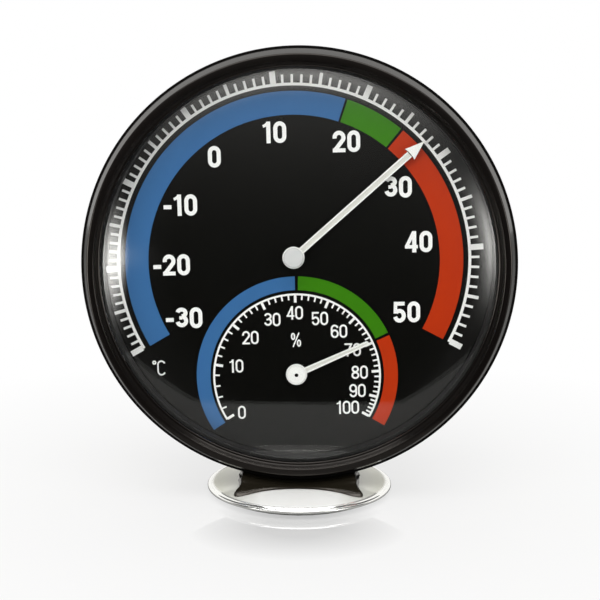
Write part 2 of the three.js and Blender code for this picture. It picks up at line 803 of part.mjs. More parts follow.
// The saddle: an hourglass seen from the front and from above, toes on the disc, a shelf under
// the case, a block behind the flange and a tongue into the rear case
function saddle() {
  const shoulderTop = saddleTop + saddleTopRadius - Math.sqrt(saddleTopRadius ** 2 - saddleShoulder ** 2);
  const toeTop = baseTop(Math.hypot(saddleSpan, saddleToeReach)) + seatGap + saddleToeThickness;
  const front = new THREE.Shape();
  front.moveTo(-saddleSpan, baseRimHeight);
  front.lineTo(saddleSpan, baseRimHeight);
  front.lineTo(saddleSpan, toeTop);
  const lowBend = [saddleWaist + saddleFlare, saddleWaistHeight - saddleFlare / 2];
  const highBend = [saddleWaist + saddleFlare / 2, saddleWaistHeight + saddleFlare * 1.5];
  front.quadraticCurveTo(...lowBend, saddleWaist, saddleWaistHeight);
  front.quadraticCurveTo(...highBend, saddleShoulder, shoulderTop);
  const arch = Math.asin(saddleShoulder / saddleTopRadius);
  const down = -Math.PI / 2;
  front.absarc(0, saddleTop + saddleTopRadius, saddleTopRadius, down + arch, down - arch, true);
  front.quadraticCurveTo(-highBend[0], highBend[1], -saddleWaist, saddleWaistHeight);
  front.quadraticCurveTo(-lowBend[0], lowBend[1], -saddleSpan, toeTop);
  front.closePath();
  const hourglass = plate(front, -saddleToeReach, saddleToeReach).rotateX(Math.PI / 2);
  const rampFoot = basePlateauHeight + saddleToeThickness / 2;
  const side = new THREE.Shape();
  side.moveTo(-saddleToeReach, baseEdgeHeight);
  side.lineTo(saddleToeReach, baseEdgeHeight);
  side.lineTo(saddleToeReach, rampFoot);
  side.lineTo(saddleShelfReach, saddleTop);
  side.lineTo(saddleShelfReach, saddleTop + 5);
  side.lineTo(-saddleShelfReach, saddleTop + 5);
  side.lineTo(-saddleShelfReach, saddleTop);
  side.lineTo(-saddleToeReach, rampFoot);
  side.closePath();
  const ramp = plate(side, -saddleSpan - 1, saddleSpan + 1).rotateX(Math.PI / 2).rotateZ(Math.PI / 2);
  const blockFront = -flangeRear + seatGap;
  const caseUnder = caseCentre - tubRadius - seatGap;
  const rearBlock = block(
    [-saddleBlockHalfWidth, blockFront, basePlateauHeight],
    [saddleBlockHalfWidth, saddleBlockBack, caseUnder + saddleTop],
  );
  const tubClear = disc(tubRadius + seatGap, -caseBack, caseBack)
    .rotateX(Math.PI / 2)
    .translate(0, 0, caseCentre);
  const tongue = block(
    [-tongueHalfWidth, -tongueFront, saddleTop],
    [tongueHalfWidth, -tongueBack, caseCentre + tongueTop],
  );
  const discTop = [...baseCurve(seatGap), [0, basePlateauHeight + seatGap]];
  const discClear = turned([...discTop, [0, 0], [baseRadius, 0]]);
  const screwEnd = weightBottom + saddleScrew.headThickness + saddleScrew.length;
  const pilot = disc(saddleScrew.shank + runGap, 0, screwEnd + 1, fine / 2);
  const hollows = [-1, 1].map((side) =>
    disc(saddleHollowRadius, 0, caseCentre).translate(0, side * (saddleWaistReach + saddleHollowRadius), 0),
  );
  const sideHollows = [-1, 1].flatMap((side) =>
    [-1, 1].map((end) =>
      disc(saddleSideRadius, 0, caseCentre).translate(
        side * (saddleSideReach + saddleSideRadius),
        end * saddleSidePlace,
        0,
      ),
    ),
  );
  const foot = cut(common(hourglass, ramp), ...hollows, ...sideHollows);
  return cut(join(cut(join(foot, rearBlock), tubClear), tongue), discClear, ...underSaddle(pilot));
}

function stand() {
  const group = new THREE.Group();
  group.add(
    make("base_shell", baseShell(), "chrome"),
    make("base_weight", baseWeight(), "steel"),
    make("foot_pad", footPad(), "foam"),
    make("saddle", saddle(), "blackGloss"),
  );
  underSaddle(screw(saddleScrew).rotateX(Math.PI)).forEach((geometry, i) => {
    const fastener = make(`saddle_screw_${["left", "right"][i]}`, geometry, "steel");
    fastener.position.z = weightBottom + saddleScrew.headThickness;
    group.add(fastener);
  });
  return group;
}

const part = new THREE.Group();
part.add(stand(), instrument());
export default part;
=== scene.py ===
# %% [markdown]
# # A round thermo-hygrometer on a small chrome disc
#
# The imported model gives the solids, their bodies and their joints. This notebook gives them
# their looks: finer shapes where facets would show, the printed dial, and a finish for every
# piece. Everything is in metres, the dial faces -Y, and +Z is up.

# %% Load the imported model
import json
import math

import bmesh
import bpy
from mathutils import Matrix, Vector
from mathutils.geometry import delaunay_2d_cdt


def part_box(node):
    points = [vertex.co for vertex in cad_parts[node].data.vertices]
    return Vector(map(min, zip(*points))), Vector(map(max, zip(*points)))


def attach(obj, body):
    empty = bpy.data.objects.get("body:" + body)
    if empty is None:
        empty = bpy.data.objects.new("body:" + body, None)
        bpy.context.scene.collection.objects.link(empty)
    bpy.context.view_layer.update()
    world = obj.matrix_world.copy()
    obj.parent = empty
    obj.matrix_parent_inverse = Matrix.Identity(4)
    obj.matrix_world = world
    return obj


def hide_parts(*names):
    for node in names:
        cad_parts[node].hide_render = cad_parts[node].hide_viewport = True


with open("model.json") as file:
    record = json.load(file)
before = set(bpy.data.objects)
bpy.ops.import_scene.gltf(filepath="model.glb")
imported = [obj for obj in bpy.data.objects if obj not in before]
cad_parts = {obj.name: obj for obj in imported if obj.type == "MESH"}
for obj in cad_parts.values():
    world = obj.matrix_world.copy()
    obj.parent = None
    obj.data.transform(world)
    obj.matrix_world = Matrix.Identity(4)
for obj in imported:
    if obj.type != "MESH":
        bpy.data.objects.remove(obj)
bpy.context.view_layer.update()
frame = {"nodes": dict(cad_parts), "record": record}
nodes = frame["nodes"]
scene = bpy.context.scene
MM = 0.001


def mm(*lengths):
    """Lengths in millimetres as metres."""
    return [length * MM for length in lengths]


# %% [markdown]
# ## Places taken from the solids
#
# Every visible piece has to sit on the solid that carries it, so its place is read from the
# boxes of the solids, and only written as a number where no box gives it.


# %% Places on the case and the stand
def front_and_back(node):
    """How far towards the viewer a solid's front and its back are."""
    low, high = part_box(node)
    return -low.y, -high.y


def shaft_place(node):
    """Middle of a shaft in x and z, from its box."""
    low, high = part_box(node)
    return (low.x + high.x) / 2, (low.z + high.z) / 2


bezel_low, bezel_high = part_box("front_bezel")
case_radius = (bezel_high.x - bezel_low.x) / 2
case_centre = (bezel_high.z + bezel_low.z) / 2
crest, bezel_rear = front_and_back("front_bezel")
dial_face, _ = front_and_back("dial_plate")
base_low, base_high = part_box("base_shell")
base_radius, plateau = base_high.x, base_high.z
big_shaft = shaft_place("thermometer_shaft")
small_shaft = shaft_place("hygrometer_shaft")
print("case radius", round(case_radius / MM, 2), "centre", round(case_centre / MM, 2), "mm")
print("shafts", [round(value / MM, 2) for value in (*big_shaft, *small_shaft)], "mm")

# %% [markdown]
# ## Shader maths as Python expressions
#
# Written out link by link, a graph of nodes is hard to read, so a small class wraps an output
# socket: `a * b + 0.2` or `1 - a` then adds the Math nodes by itself. Any other node comes from
# one method that takes its type, its inputs and its settings.


# %% A socket that can be added, multiplied and clipped
def both_ways(operation):
    """An operator's method and its reflected form."""
    def direct(self, other):
        return self.math(operation, other)

    def reflected(self, other):
        return self.finish.node("ShaderNodeMath", [other, self], operation=operation)

    return direct, reflected


class Value:
    def __init__(self, finish, socket):
        self.finish = finish
        self.socket = socket

    __add__, __radd__ = both_ways("ADD")
    __sub__, __rsub__ = both_ways("SUBTRACT")
    __mul__, __rmul__ = both_ways("MULTIPLY")
    __truediv__, __rtruediv__ = both_ways("DIVIDE")
    __pow__, __rpow__ = both_ways("POWER")

    def __abs__(self):
        return self.math("ABSOLUTE")

    def math(self, operation, *others, clamp=False):
        inputs = [self, *others]
        return self.finish.node("ShaderNodeMath", inputs, operation=operation, use_clamp=clamp)

    def over(self, low, high):
        """0 at low, 1 at high, clipped and straight between."""
        return (self - low).math("DIVIDE", high - low, clamp=True)


# %% A finish: the nodes of a new material, or of the world
class Finish:
    def __init__(self, name="", world=None):
        self.owner = world or bpy.data.materials.new(name)
        self.owner.use_nodes = True
        self.tree = self.owner.node_tree
        self.tree.nodes.clear()

    def node(self, kind, inputs=(), output=0, **settings):
        """Any node; its inputs are a list, or a dict where only some are given."""
        made = self.tree.nodes.new(kind)
        for key, value in settings.items():
            setattr(made, key, value)
        pairs = inputs.items() if isinstance(inputs, dict) else enumerate(inputs)
        for key, value in pairs:
            self.feed(made.inputs[key], value)
        return Value(self, made.outputs[output]) if made.outputs else None

    def feed(self, socket, value):
        if isinstance(value, Value):
            self.tree.links.new(value.socket, socket)
        else:
            socket.default_value = (*value, 1) if socket.type == "RGBA" else value

    def place(self):
        return self.node("ShaderNodeTexCoord", output="Object")

    def split(self, vector):
        made = self.node("ShaderNodeSeparateXYZ", [vector]).socket.node
        return [Value(self, axis) for axis in made.outputs]

    def noise(self, scale, detail=3.0, stretch=None, roughness=0.5):
        """Soft random values from 0 to 1; scale counts the blotches in one metre."""
        where = self.place()
        if stretch:
            where = self.node("ShaderNodeVectorMath", [where, stretch], operation="MULTIPLY")
        inputs = {"Vector": where, "Scale": scale, "Detail": detail, "Roughness": roughness}
        return self.node("ShaderNodeTexNoise", inputs)

    def mix(self, factor, first, second):
        """A colour between two colours."""
        inputs = {0: factor, 6: first, 7: second}
        return self.node("ShaderNodeMix", inputs, output=2, data_type="RGBA")

    def bump(self, height, depth, strength=1.0):
        inputs = {"Height": height, "Distance": depth, "Strength": strength}
        return self.node("ShaderNodeBump", inputs)

    def shader(self, **inputs):
        """The main shader, with sockets named by words joined with underscores."""
        named = {key.replace("_", " ").title().replace("Ior", "IOR"): value
                 for key, value in inputs.items()}
        return self.node("ShaderNodeBsdfPrincipled", named)

    def finish(self, shader, kind="ShaderNodeOutputMaterial"):
        self.node(kind, {"Surface": shader})
        print("finish", self.owner.name, len(self.tree.nodes), "nodes")
        return self.owner

    def surface(self, **inputs):
        return self.finish(self.shader(**inputs))

    def patchy(self, patches, light, dark, roughness, relief, **more):
        """The usual surface: patches move its colour and its roughness (least, change)."""
        colour, rough = self.mix(patches, light, dark), roughness[0] + patches * roughness[1]
        return self.surface(base_color=colour, roughness=rough, normal=relief, **more)


# %% [markdown]
# Colours are easiest to judge in the numbers that a picture editor shows, from 0 to 255. The
# shader wants linear light, so one helper turns the first into the second.


# %% Colour from picture values
def shade(*channels):
    """Linear light from red, green and blue as whole numbers."""
    return [c / 255 / 12.92 if c <= 10 else ((c / 255 + 0.055) / 1.055) ** 2.4 for c in channels]


print("dial blue", [round(c, 3) for c in shade(59, 109, 163)])

# %% [markdown]
# ## Plastics
#
# The bezel and the saddle are glossy moulded plastic. A perfect mirror black looks like a
# drawing, so the gloss varies in large soft patches and carries fine wiping marks and a little
# dust, and the face has the faint waviness that a mould leaves.


# %% Glossy black plastic
def black_gloss(name, body_colour, sheen=0.36, dullness=0.1):
    f = Finish(name)
    patches = f.noise(60, 4)
    wiping = f.noise(900, 2, stretch=(1, 1, 0.06))
    dust = f.noise(5200, 1).over(0.72, 0.8)
    return f.surface(
        base_color=f.mix(dust * 0.4, body_colour, (0.03, 0.028, 0.026)),
        roughness=dullness + patches * 0.07 + wiping * 0.06 + dust * 0.2,
        specular_ior_level=sheen,
        specular_tint=(1.0, 0.92, 0.85),
        normal=f.bump(f.noise(140, 2), 0.00004),
    )


# %% The same plastic where the mould is etched, also used as painted shade on the saddle's sides and in the shaft's hole
def dull_black_and_painted_shade():
    f = Finish("dull_black_and_painted_shade")
    grain = f.noise(2600, 2)
    return f.patchy(grain, (0.0024, 0.0021, 0.002), (0.0045, 0.004, 0.0038), (0.62, 0.1),
                    f.bump(grain, 0.00002), specular_ior_level=0.03)


# %% Satin black plastic
def black_satin():
    f = Finish("black_satin")
    grain = f.noise(3800, 2)
    patches = f.noise(45, 4)
    return f.surface(
        base_color=f.mix(patches, (0.014, 0.014, 0.014), (0.022, 0.0215, 0.021)),
        roughness=0.5 + patches * 0.14 - grain * 0.06,
        specular_ior_level=0.4,
        normal=f.bump(grain, 0.00005, 0.8),
    )


def foam():
    f = Finish("foot_foam")
    cells = f.node("ShaderNodeTexVoronoi", {"Vector": f.place(), "Scale": 1600.0})
    return f.patchy(f.noise(70), (0.016, 0.016, 0.016), (0.034, 0.033, 0.032), (0.86, 0.1),
                    f.bump(cells, 0.00012, 0.7))


def hub_grey():
    f = Finish("hub_grey")
    return f.patchy(f.noise(420), shade(206, 207, 208), shade(222, 222, 222), (0.34, 0.12),
                    f.bump(f.noise(2400, 2), 0.00001))


# %% [markdown]
# ## Metals
#
# One helper serves zinc plated steel, turned brass and the coil strips. The grain runs along one
# axis, so its noise is stretched, and it moves the roughness and the surface a little. Stains
# darken the colour in slow patches.


# %% Plain metals
def metal(name, light, dark, grain_axis, roughness):
    f = Finish(name)
    grain = f.noise(2600, stretch=[0.05 if axis == grain_axis else 1 for axis in range(3)])
    stain = f.noise(150, 5, roughness=0.6).over(0.42, 0.7)
    return f.surface(
        base_color=f.mix(stain, light, dark),
        metallic=1.0,
        roughness=roughness + grain * 0.16 + stain * 0.08,
        normal=f.bump(grain, 0.00002, 0.6),
    )


# %% [markdown]
# ## The chrome base
#
# The disc is a plated moulding. Its top is bright and slightly milky, as thin chrome on plastic
# is, while the rolled rim is a clean mirror. The metallic share rises from the middle to both
# sides, and to the rim. Both sides are also painted a greyer colour: painted shade, which makes
# them darker than the front.


# %% Chrome plate
def chrome(rim_radius):
    f = Finish("chrome")
    x, y, _ = f.split(f.place())
    radius = (x * x + y * y) ** 0.5
    rim = radius.over(rim_radius - 2.2 * MM, rim_radius - 1.4 * MM)
    # Mask of the two sides, whose colour is painted greyer as painted shade
    sides_painted_grey = abs(x).over(11 * MM, 24 * MM) * (1 - rim)
    haze = f.noise(260, 4)
    scuffs = f.noise(1500, stretch=(1, 0.15, 1)).over(0.6, 0.75)
    colour = f.mix(haze, shade(248, 249, 246), shade(253, 253, 252))
    return f.surface(
        # Painted shade: the sides get a greyer, yellower colour than the top, not a colour of the
        # plating
        base_color=f.mix(sides_painted_grey, colour, shade(216, 216, 204)),
        metallic=0.08 + rim * 0.86 + sides_painted_grey * 0.22,
        specular_ior_level=0.12,
        roughness=0.12 - rim * 0.07 + haze * 0.05 + scuffs * 0.04,
        normal=f.bump(haze, 0.000015),
    )


# %% [markdown]
# ## The dial, its inks and the pointers
#
# The dial is a sheet with satin black ink. The other inks are screen printed on it, each a
# fraction of a hair thick: they are slightly matt, and their density wavers a little.


# %% Inks and paint
def ink(name, colour, darker, roughness=0.5, sheen=0.3):
    f = Finish(name)
    density = f.noise(700, 4)
    slow = f.noise(55, 2)
    return f.surface(
        base_color=f.mix(density * 0.6 + slow * 0.4, colour, darker),
        roughness=roughness + density * 0.12,
        specular_ior_level=sheen,
        normal=f.bump(f.noise(5200, 2), 0.000006),
    )


def pointer_paint(name, light, dark):
    f = Finish(name)
    patches = f.noise(350, 4)
    specks = f.noise(6000, 1).over(0.74, 0.8)
    colour = f.mix(patches, light, dark)
    return f.surface(
        base_color=f.mix(specks * 0.4, colour, shade(190, 190, 185)),
        roughness=0.36 + patches * 0.14,
        normal=f.bump(f.noise(3000, 2), 0.000008),
    )


# %% [markdown]
# ## The window
#
# Clear plastic is mostly see-through, with a mirror on top that grows towards grazing angles by
# Schlick's rule. A Fresnel node would make the rear face a full mirror at the window's turned
# edge, because the see-through shader doesn't bend the ray on its way in.


# %% Clear moulded window
def clear_lens():
    f = Finish("lens_clear")
    wave = f.bump(f.noise(30, 2), 0.00002)
    smear = f.noise(120, 5).over(0.45, 0.8)
    mirror = f.node("ShaderNodeBsdfGlossy", {
        "Color": (1.0, 0.995, 0.985), "Roughness": 0.02 + smear * 0.03, "Normal": wave,
    })
    through = f.node("ShaderNodeBsdfTransparent", {"Color": (0.985, 0.99, 0.988)})
    turned = f.node("ShaderNodeLayerWeight", {"Blend": 0.5, "Normal": wave}, output="Facing")
    share = turned ** 5 * 0.96 + 0.04
    return f.finish(f.node("ShaderNodeMixShader", [share, through, mirror]))


# %% Make the finishes
finishes = {
    "black_gloss": black_gloss("black_gloss", (0.0034, 0.0027, 0.0025)),
    "dull_black_and_painted_shade": dull_black_and_painted_shade(),
    "black_satin": black_satin(),
    "foot_foam": foam(),
    "hub_grey": hub_grey(),
    "steel": metal("steel", (0.6, 0.61, 0.62), (0.44, 0.44, 0.43), 0, 0.24),
    "brass": metal("brass", (0.74, 0.56, 0.27), (0.5, 0.36, 0.16), 2, 0.22),
    "bimetal": metal("bimetal", (0.62, 0.57, 0.5), (0.45, 0.4, 0.34), 1, 0.3),
    "moisture_strip": metal("moisture_strip", (0.66, 0.5, 0.31), (0.48, 0.34, 0.2), 1, 0.36),
    "chrome": chrome(base_radius),
    "dial_black": ink("dial_black", (0.0024, 0.0025, 0.002), (0.0035, 0.0034, 0.0028), 0.6, 0.01),
    "pointer_white": pointer_paint("pointer_white", shade(252, 252, 250), shade(245, 245, 242)),
    # Darker grey for the pointers' channels: painted shade in the recess
    "channel_painted_shade": pointer_paint("channel_painted_shade", shade(226, 225, 219), shade(214, 213, 207)),
    "lens_clear": clear_lens(),
}
saddle_gloss = black_gloss("saddle_gloss", (0.014, 0.0115, 0.0075), 0.6, 0.14)
inks = {
    "white": ink("ink_white", shade(253, 253, 252), shade(246, 246, 245), 0.45),
    "blue": ink("ink_blue", shade(59, 109, 163), shade(53, 102, 154), 0.5, 0.1),
    "green": ink("ink_green", shade(57, 128, 3), shade(51, 118, 1), 0.5, 0.1),
    "red": ink("ink_red", shade(190, 54, 6), shade(178, 45, 3), 0.5, 0.1),
}

# %% [markdown]
# ## Finishes for the solids that stay
#
# Solids whose shape is already right keep their mesh and only get a finish, by the slot that
# the record names for them.

# %% Dress the solids
for part in frame["record"]["subparts"]:
    solid = nodes[part["node"]]
    solid.data.materials.clear()
    solid.data.materials.append(finishes[part["material_slot"]])

# %% [markdown]
# ## Helpers for meshes
#
# Most pieces are turned, so one helper spins a profile of radius and height about an axis. The
# flat ones are plates.


# %% An edited mesh as an object, and as a piece on its body
def add_object(name, mesh, material):
    data = bpy.data.meshes.new(name)
    mesh.to_mesh(data)
    mesh.free()
    data.materials.append(material)
    thing = bpy.data.objects.new(name, data)
    scene.collection.objects.link(thing)
    return thing


def add_piece(name, mesh, body, slot, matrix=Matrix(), material=None, replaces=(), smooth=None):
    """Turn the faces outwards, move the mesh to its place, and set it on its body."""
    bmesh.ops.recalc_face_normals(mesh, faces=mesh.faces)
    mesh.transform(matrix)
    thing = add_object(name, mesh, material or finishes[slot])
    if smooth is not None:
        thing.data.shade_smooth()
        thing.data.set_sharp_from_angle(angle=math.radians(smooth))
    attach(thing, body)
    if replaces:
        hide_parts(*replaces)
    print("piece", name, len(thing.data.polygons), "faces")
    return thing


def second_finish(piece, finish, test):
    """Give the faces that pass a test another finish."""
    piece.data.materials.append(finishes[finish])
    for face in piece.data.polygons:
        if test(face):
            face.material_index = 1


# %% Turned bodies
def oval(centre, across, up, start, end, steps=18):
    """Points on an ellipse; angles in degrees, anticlockwise from the right."""
    turns = [math.radians(start + (end - start) * i / steps) for i in range(steps + 1)]
    return [(centre[0] + across * math.cos(a), centre[1] + up * math.sin(a)) for a in turns]


def arc(centre, radius, start, end, steps):
    return oval(centre, radius, radius, start, end, steps)


def polygon(radius, sides=64):
    """Corners of a many-sided outline about the origin."""
    return arc((0, 0), radius, 0, 360, sides)[:-1]


def join_loops(mesh, lower, upper):
    """Faces between two closed loops of corners, of which one may be a single corner."""
    count = max(len(lower), len(upper))
    for i in range(count):
        j = (i + 1) % count
        corners = [lower[i % len(lower)], lower[j % len(lower)],
                   upper[j % len(upper)], upper[i % len(upper)]]
        mesh.faces.new(dict.fromkeys(corners))


def spin(profile, sides):
    """A mesh from a closed profile of (radius, height), turned about z."""
    mesh = bmesh.new()
    rings = []
    for radius, height in profile:
        outline = polygon(radius, sides) if radius > 0 else [(0, 0)]
        rings.append([mesh.verts.new((x, y, height)) for x, y in outline])
    for lower, upper in zip(rings, rings[1:] + rings[:1]):
        if len(lower) + len(upper) > 2:
            join_loops(mesh, lower, upper)
    return mesh


# The instrument's frame: x right, y up the dial, z to the viewer
INSTRUMENT = Matrix.Translation((0, 0, case_centre)) @ Matrix.Rotation(math.pi / 2, 4, "X")


def at_shaft(shaft):
    """The instrument's frame, moved to a shaft."""
    return INSTRUMENT @ Matrix.Translation((shaft[0], shaft[1] - case_centre, 0))


# %% Plates
def plate(mesh, outline, back, front):
    """A plate between two levels, from an outline in metres; gives its front face."""
    low = [mesh.verts.new((x, y, back)) for x, y in outline]
    high = [mesh.verts.new((x, y, front)) for x, y in outline]
    top = mesh.faces.new(high)
    mesh.faces.new(list(reversed(low)))
    join_loops(mesh, low, high)
    return top


# %% [markdown]
# ## Front bezel
#
# The bezel is one turned profile: a thin lip holds the window, a band stands proud of it, and a
# narrow step runs round the outside. The band's steep flank mirrors the white wall as a thin
# line, and the step outside it is etched dull.

# %% Bezel profile
STEP_WIDTH, STEP_DROP, BAND_WIDTH, BAND_RISE = mm(0.9, 0.8, 4.7, 4.3)
FLANK_WIDTH, FACE_WIDTH, SEAT_WIDTH = mm(2.07, 1.43, 1.3)
LIP_WIDTH, LIP_HEIGHT, LIP_GAP = mm(0.7, 0.9, 0.3)
outer_foot = case_radius - STEP_WIDTH
lens_radius = outer_foot - BAND_WIDTH - LIP_WIDTH
bore_radius = lens_radius + SEAT_WIDTH
band_foot = crest - BAND_RISE
print("lens radius", lens_radius / MM, "crest", crest / MM, "mm")


def bezel_profile():
    """Closed profile of (radius, height); its lip stands over the edge of the window."""
    outer_round, inner_round, edge_round, bead = mm(0.5, 0.2, 0.35, 0.35)
    rear_chamfer, foot_chamfer = mm(0.2, 0.12)
    face_outer = outer_foot - FLANK_WIDTH
    face_inner = face_outer - FACE_WIDTH
    step = band_foot - STEP_DROP
    lip_rear = window_edge + LIP_GAP
    lip_top = lip_rear + LIP_HEIGHT
    lip_foot = lens_radius + LIP_WIDTH
    return [
        (bore_radius, bezel_rear),
        (case_radius - rear_chamfer, bezel_rear),
        (case_radius, bezel_rear + rear_chamfer),
        *arc((case_radius - edge_round, step - edge_round), edge_round, 0, 90, 6),
        (outer_foot + foot_chamfer, step),
        (outer_foot, step + foot_chamfer),
        (outer_foot, band_foot),
        *arc((face_outer, crest - outer_round), outer_round, 22, 90, 10),
        *arc((face_inner, crest - inner_round), inner_round, 90, 152, 6),
        (lip_foot + 0.02 * MM, lip_top - 0.16 * MM),
        (lip_foot - 0.03 * MM, lip_top - 0.2 * MM),
        *arc((lens_radius + bead, lip_top - bead), bead, 40, 180, 14),
        (lens_radius, lip_rear),
        (bore_radius, lip_rear),
    ]


# %% [markdown]
# ## The window's shape
#
# The window is almost flat and turns down at its edge. That turned edge is what mirrors the
# studio at the sides, so it needs many rings to bend the light evenly.

# %% Height of the window's front at a distance from its axis
CROWN_RADIUS, EDGE_WIDTH, EDGE_RADIUS = mm(833, 8, 36)
LENS_THICKNESS, FLANGE_WIDTH = mm(1.6, 1.0)
window_front, _ = front_and_back("lens")
crown_edge = lens_radius - EDGE_WIDTH


def window_height(radius):
    crown = min(radius, crown_edge)
    height = window_front - (CROWN_RADIUS - math.sqrt(CROWN_RADIUS ** 2 - crown ** 2))
    if radius <= crown_edge:
        return height
    start = math.asin(crown_edge / CROWN_RADIUS)
    angle = math.asin(math.sin(start) + (radius - crown_edge) / EDGE_RADIUS)
    return height - EDGE_RADIUS * (math.cos(start) - math.cos(angle))


window_edge = window_height(lens_radius)
print("window drops", round((window_front - window_edge) / MM, 2), "mm")


def window_profile():
    radii = [crown_edge * i / 20 for i in range(20)]
    radii += [crown_edge + EDGE_WIDTH * i / 28 for i in range(29)]
    front = [(radius, window_height(radius)) for radius in radii]
    flange = lens_radius + FLANGE_WIDTH
    back_edge, back_radius = window_edge - LENS_THICKNESS, lens_radius - 1.1 * MM
    back = [(r * 0.985, h - LENS_THICKNESS) for r, h in front if r < back_radius - 0.1 * MM]
    return [*front, (flange, window_edge), (flange, back_edge), (back_radius, back_edge),
            *reversed(back)]


# %% Bezel and window
bezel = add_piece("bezel", spin(bezel_profile(), 256), "case", "black_gloss", INSTRUMENT,
                  replaces=["front_bezel"], smooth=20)
flank_foot = outer_foot - 0.005 * MM
second_finish(bezel, "dull_black_and_painted_shade", lambda face: math.hypot(
    face.center.x, face.center.z - case_centre) > flank_foot)
add_piece("window", spin(window_profile(), 256), "case", "lens_clear", INSTRUMENT,
          replaces=["lens"], smooth=40)

# %% [markdown]
# ## Base disc
#
# The disc is a shallow plated dome with a rolled rim. The roll is a small bead with a fine
# groove inside it: both give the thin dark and light lines that run round its edge.

# %% Base disc mesh
RIM_HEIGHT, PLATEAU_RADIUS, FOOT_RADIUS = mm(2.85, 13.5, 25.6)


def disc_top(radius):
    past = max(0.0, radius - PLATEAU_RADIUS) / (base_radius - PLATEAU_RADIUS)
    return plateau - (plateau - RIM_HEIGHT) * past ** 2


def base_profile():
    wall, bead = mm(1.0, 0.62)
    bead_middle = (base_radius - bead, RIM_HEIGHT - bead)
    groove = base_radius - 2 * bead - 0.35 * MM
    inside = FOOT_RADIUS - wall
    top = [(groove * i / 30, disc_top(groove * i / 30)) for i in range(30)]
    under = [(inside * i / 12, disc_top(inside * i / 12) - wall) for i in range(13)]
    return [
        *top,
        (groove, disc_top(groove) - 0.03 * MM),
        (groove + 0.18 * MM, disc_top(groove) - 0.16 * MM),
        *arc(bead_middle, bead, 150, -50, 18),
        (FOOT_RADIUS + 0.9 * MM, base_low.z + 0.55 * MM),
        (FOOT_RADIUS + 0.2 * MM, base_low.z + 0.06 * MM),
        (FOOT_RADIUS, base_low.z),
        (inside, base_low.z),
        *reversed(under),
    ]


add_piece("base_disc", spin(base_profile(), 256), "stand", "chrome", replaces=["base_shell"],
          smooth=50)

# %% [markdown]
# ## Saddle
#
# The saddle stands between the disc and the case. From above all its sides are hollow, so four
# toes lie on the disc. It is lofted: one outline is repeated at rising levels, and its width,
# depth and waist change on the way. The lowest level follows the disc, the top one the case.

# %% Saddle sizes
_, saddle_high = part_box("saddle")
SADDLE_TOP, SADDLE_TOP_RADIUS, HOLLOW_RADIUS, CORNER = mm(5.2, 70, 27, 1.1)
SIDE_REACH, SIDE_PLACE, SIDE_RADIUS = mm(17.2, 8.5, 24)
BLEND_DEPTH, BLEND_WIDTH, TOP_ROUND, FOOT_ROUND, FOOT_GAP = mm(0.45, 0.8, 0.25, 0.12, 0.12)
FRONT_STEPS, SIDE_STEPS = 44, 28
# Half width, half depth and depth of the waist in millimetres, at shares of the height
WIDTHS = [(0, 19.3), (0.12, 19.1), (0.5, 17.3), (1, 18.0)]
DEPTHS = [(0, 18.0), (0.14, 17.7), (0.6, 12.2), (1, 10.6)]
WAISTS = [(0, 12.8), (0.2, 12.2), (1, 9.8)]


# %% Saddle outlines
def between(stops, share):
    """Smooth length at a share of the height."""
    for (a, low), (b, high) in zip(stops, stops[1:]):
        if share <= b:
            t = (share - a) / (b - a)
            return (low + (high - low) * (t * t * (3 - 2 * t))) * MM


def sag(radius, x):
    """How far a circle has left its tangent at a distance from where they touch."""
    return radius - math.sqrt(radius ** 2 - x ** 2)


def saddle_top(x):
    return SADDLE_TOP + sag(SADDLE_TOP_RADIUS, x)


def side_reach(width, y):
    """Half the saddle's width at a place along it: four shallow hollows cut its sides."""
    return min(width, SIDE_REACH + sag(SIDE_RADIUS, abs(y) - SIDE_PLACE))


def saddle_outline(share):
    """Points round the saddle at one level, front edge first."""
    width, depth, waist = (between(stops, share) for stops in (WIDTHS, DEPTHS, WAISTS))
    width_there = side_reach(width, depth)
    edge = []
    for i in range(FRONT_STEPS + 1):
        x = width_there * math.sin(math.pi / 2 * (2 * i / FRONT_STEPS - 1))
        hollow = waist + sag(HOLLOW_RADIUS, x)
        reach = min(depth, hollow)
        # Blend the hollow into the toe, and round the toe's corner
        reach -= BLEND_DEPTH * math.exp(-abs(depth - hollow) / BLEND_WIDTH)
        tuck = max(0.0, abs(x) - (width_there - CORNER)) / CORNER
        reach -= CORNER * (1 - math.sqrt(max(0.0, 1 - tuck ** 2)))
        edge.append((x, -reach))
    levels = [edge[-1][1] * (1 - 2 * i / SIDE_STEPS) for i in range(1, SIDE_STEPS)]
    side = [(side_reach(width, y), y) for y in levels]
    rear = [(x, -y) for x, y in reversed(edge)]
    return edge, side, rear, [(-x, -y) for x, y in side]


# %% Saddle mesh
LEVELS = [0, 0.04, 0.1, 0.18, 0.28, 0.38, 0.5, 0.62, 0.74, 0.86, 0.94, 0.98, 1]


def saddle_mesh():
    mesh = bmesh.new()
    rings = []
    for share in LEVELS:
        ring = []
        top_round = TOP_ROUND * max(0.0, (share - 0.9) / 0.1) ** 2
        inset = top_round + FOOT_ROUND * max(0.0, 1 - share / 0.04)
        for part in saddle_outline(share):
            row = []
            for x, y in part:
                r = math.hypot(x, y)
                pull = (r - inset) / r
                x, y = x * pull, y * pull
                foot = disc_top(min(math.hypot(x, y), base_radius)) + FOOT_GAP
                row.append(mesh.verts.new((x, y, foot + (saddle_top(x) - foot) * share)))
            ring.append(row)
        rings.append(ring)
    loops = [[vertex for row in ring for vertex in row] for ring in rings]
    for lower, upper in zip(loops, loops[1:]):
        join_loops(mesh, lower, upper)
    for edge, side, rear, other in (rings[0], rings[-1]):
        back = list(reversed(rear))
        for i in range(len(edge) - 1):
            mesh.faces.new((edge[i], edge[i + 1], back[i + 1], back[i]))
        mesh.faces.new((edge[-1], *side, rear[0]))
        mesh.faces.new((rear[-1], *other, edge[0]))
    add_block(mesh)
    return mesh


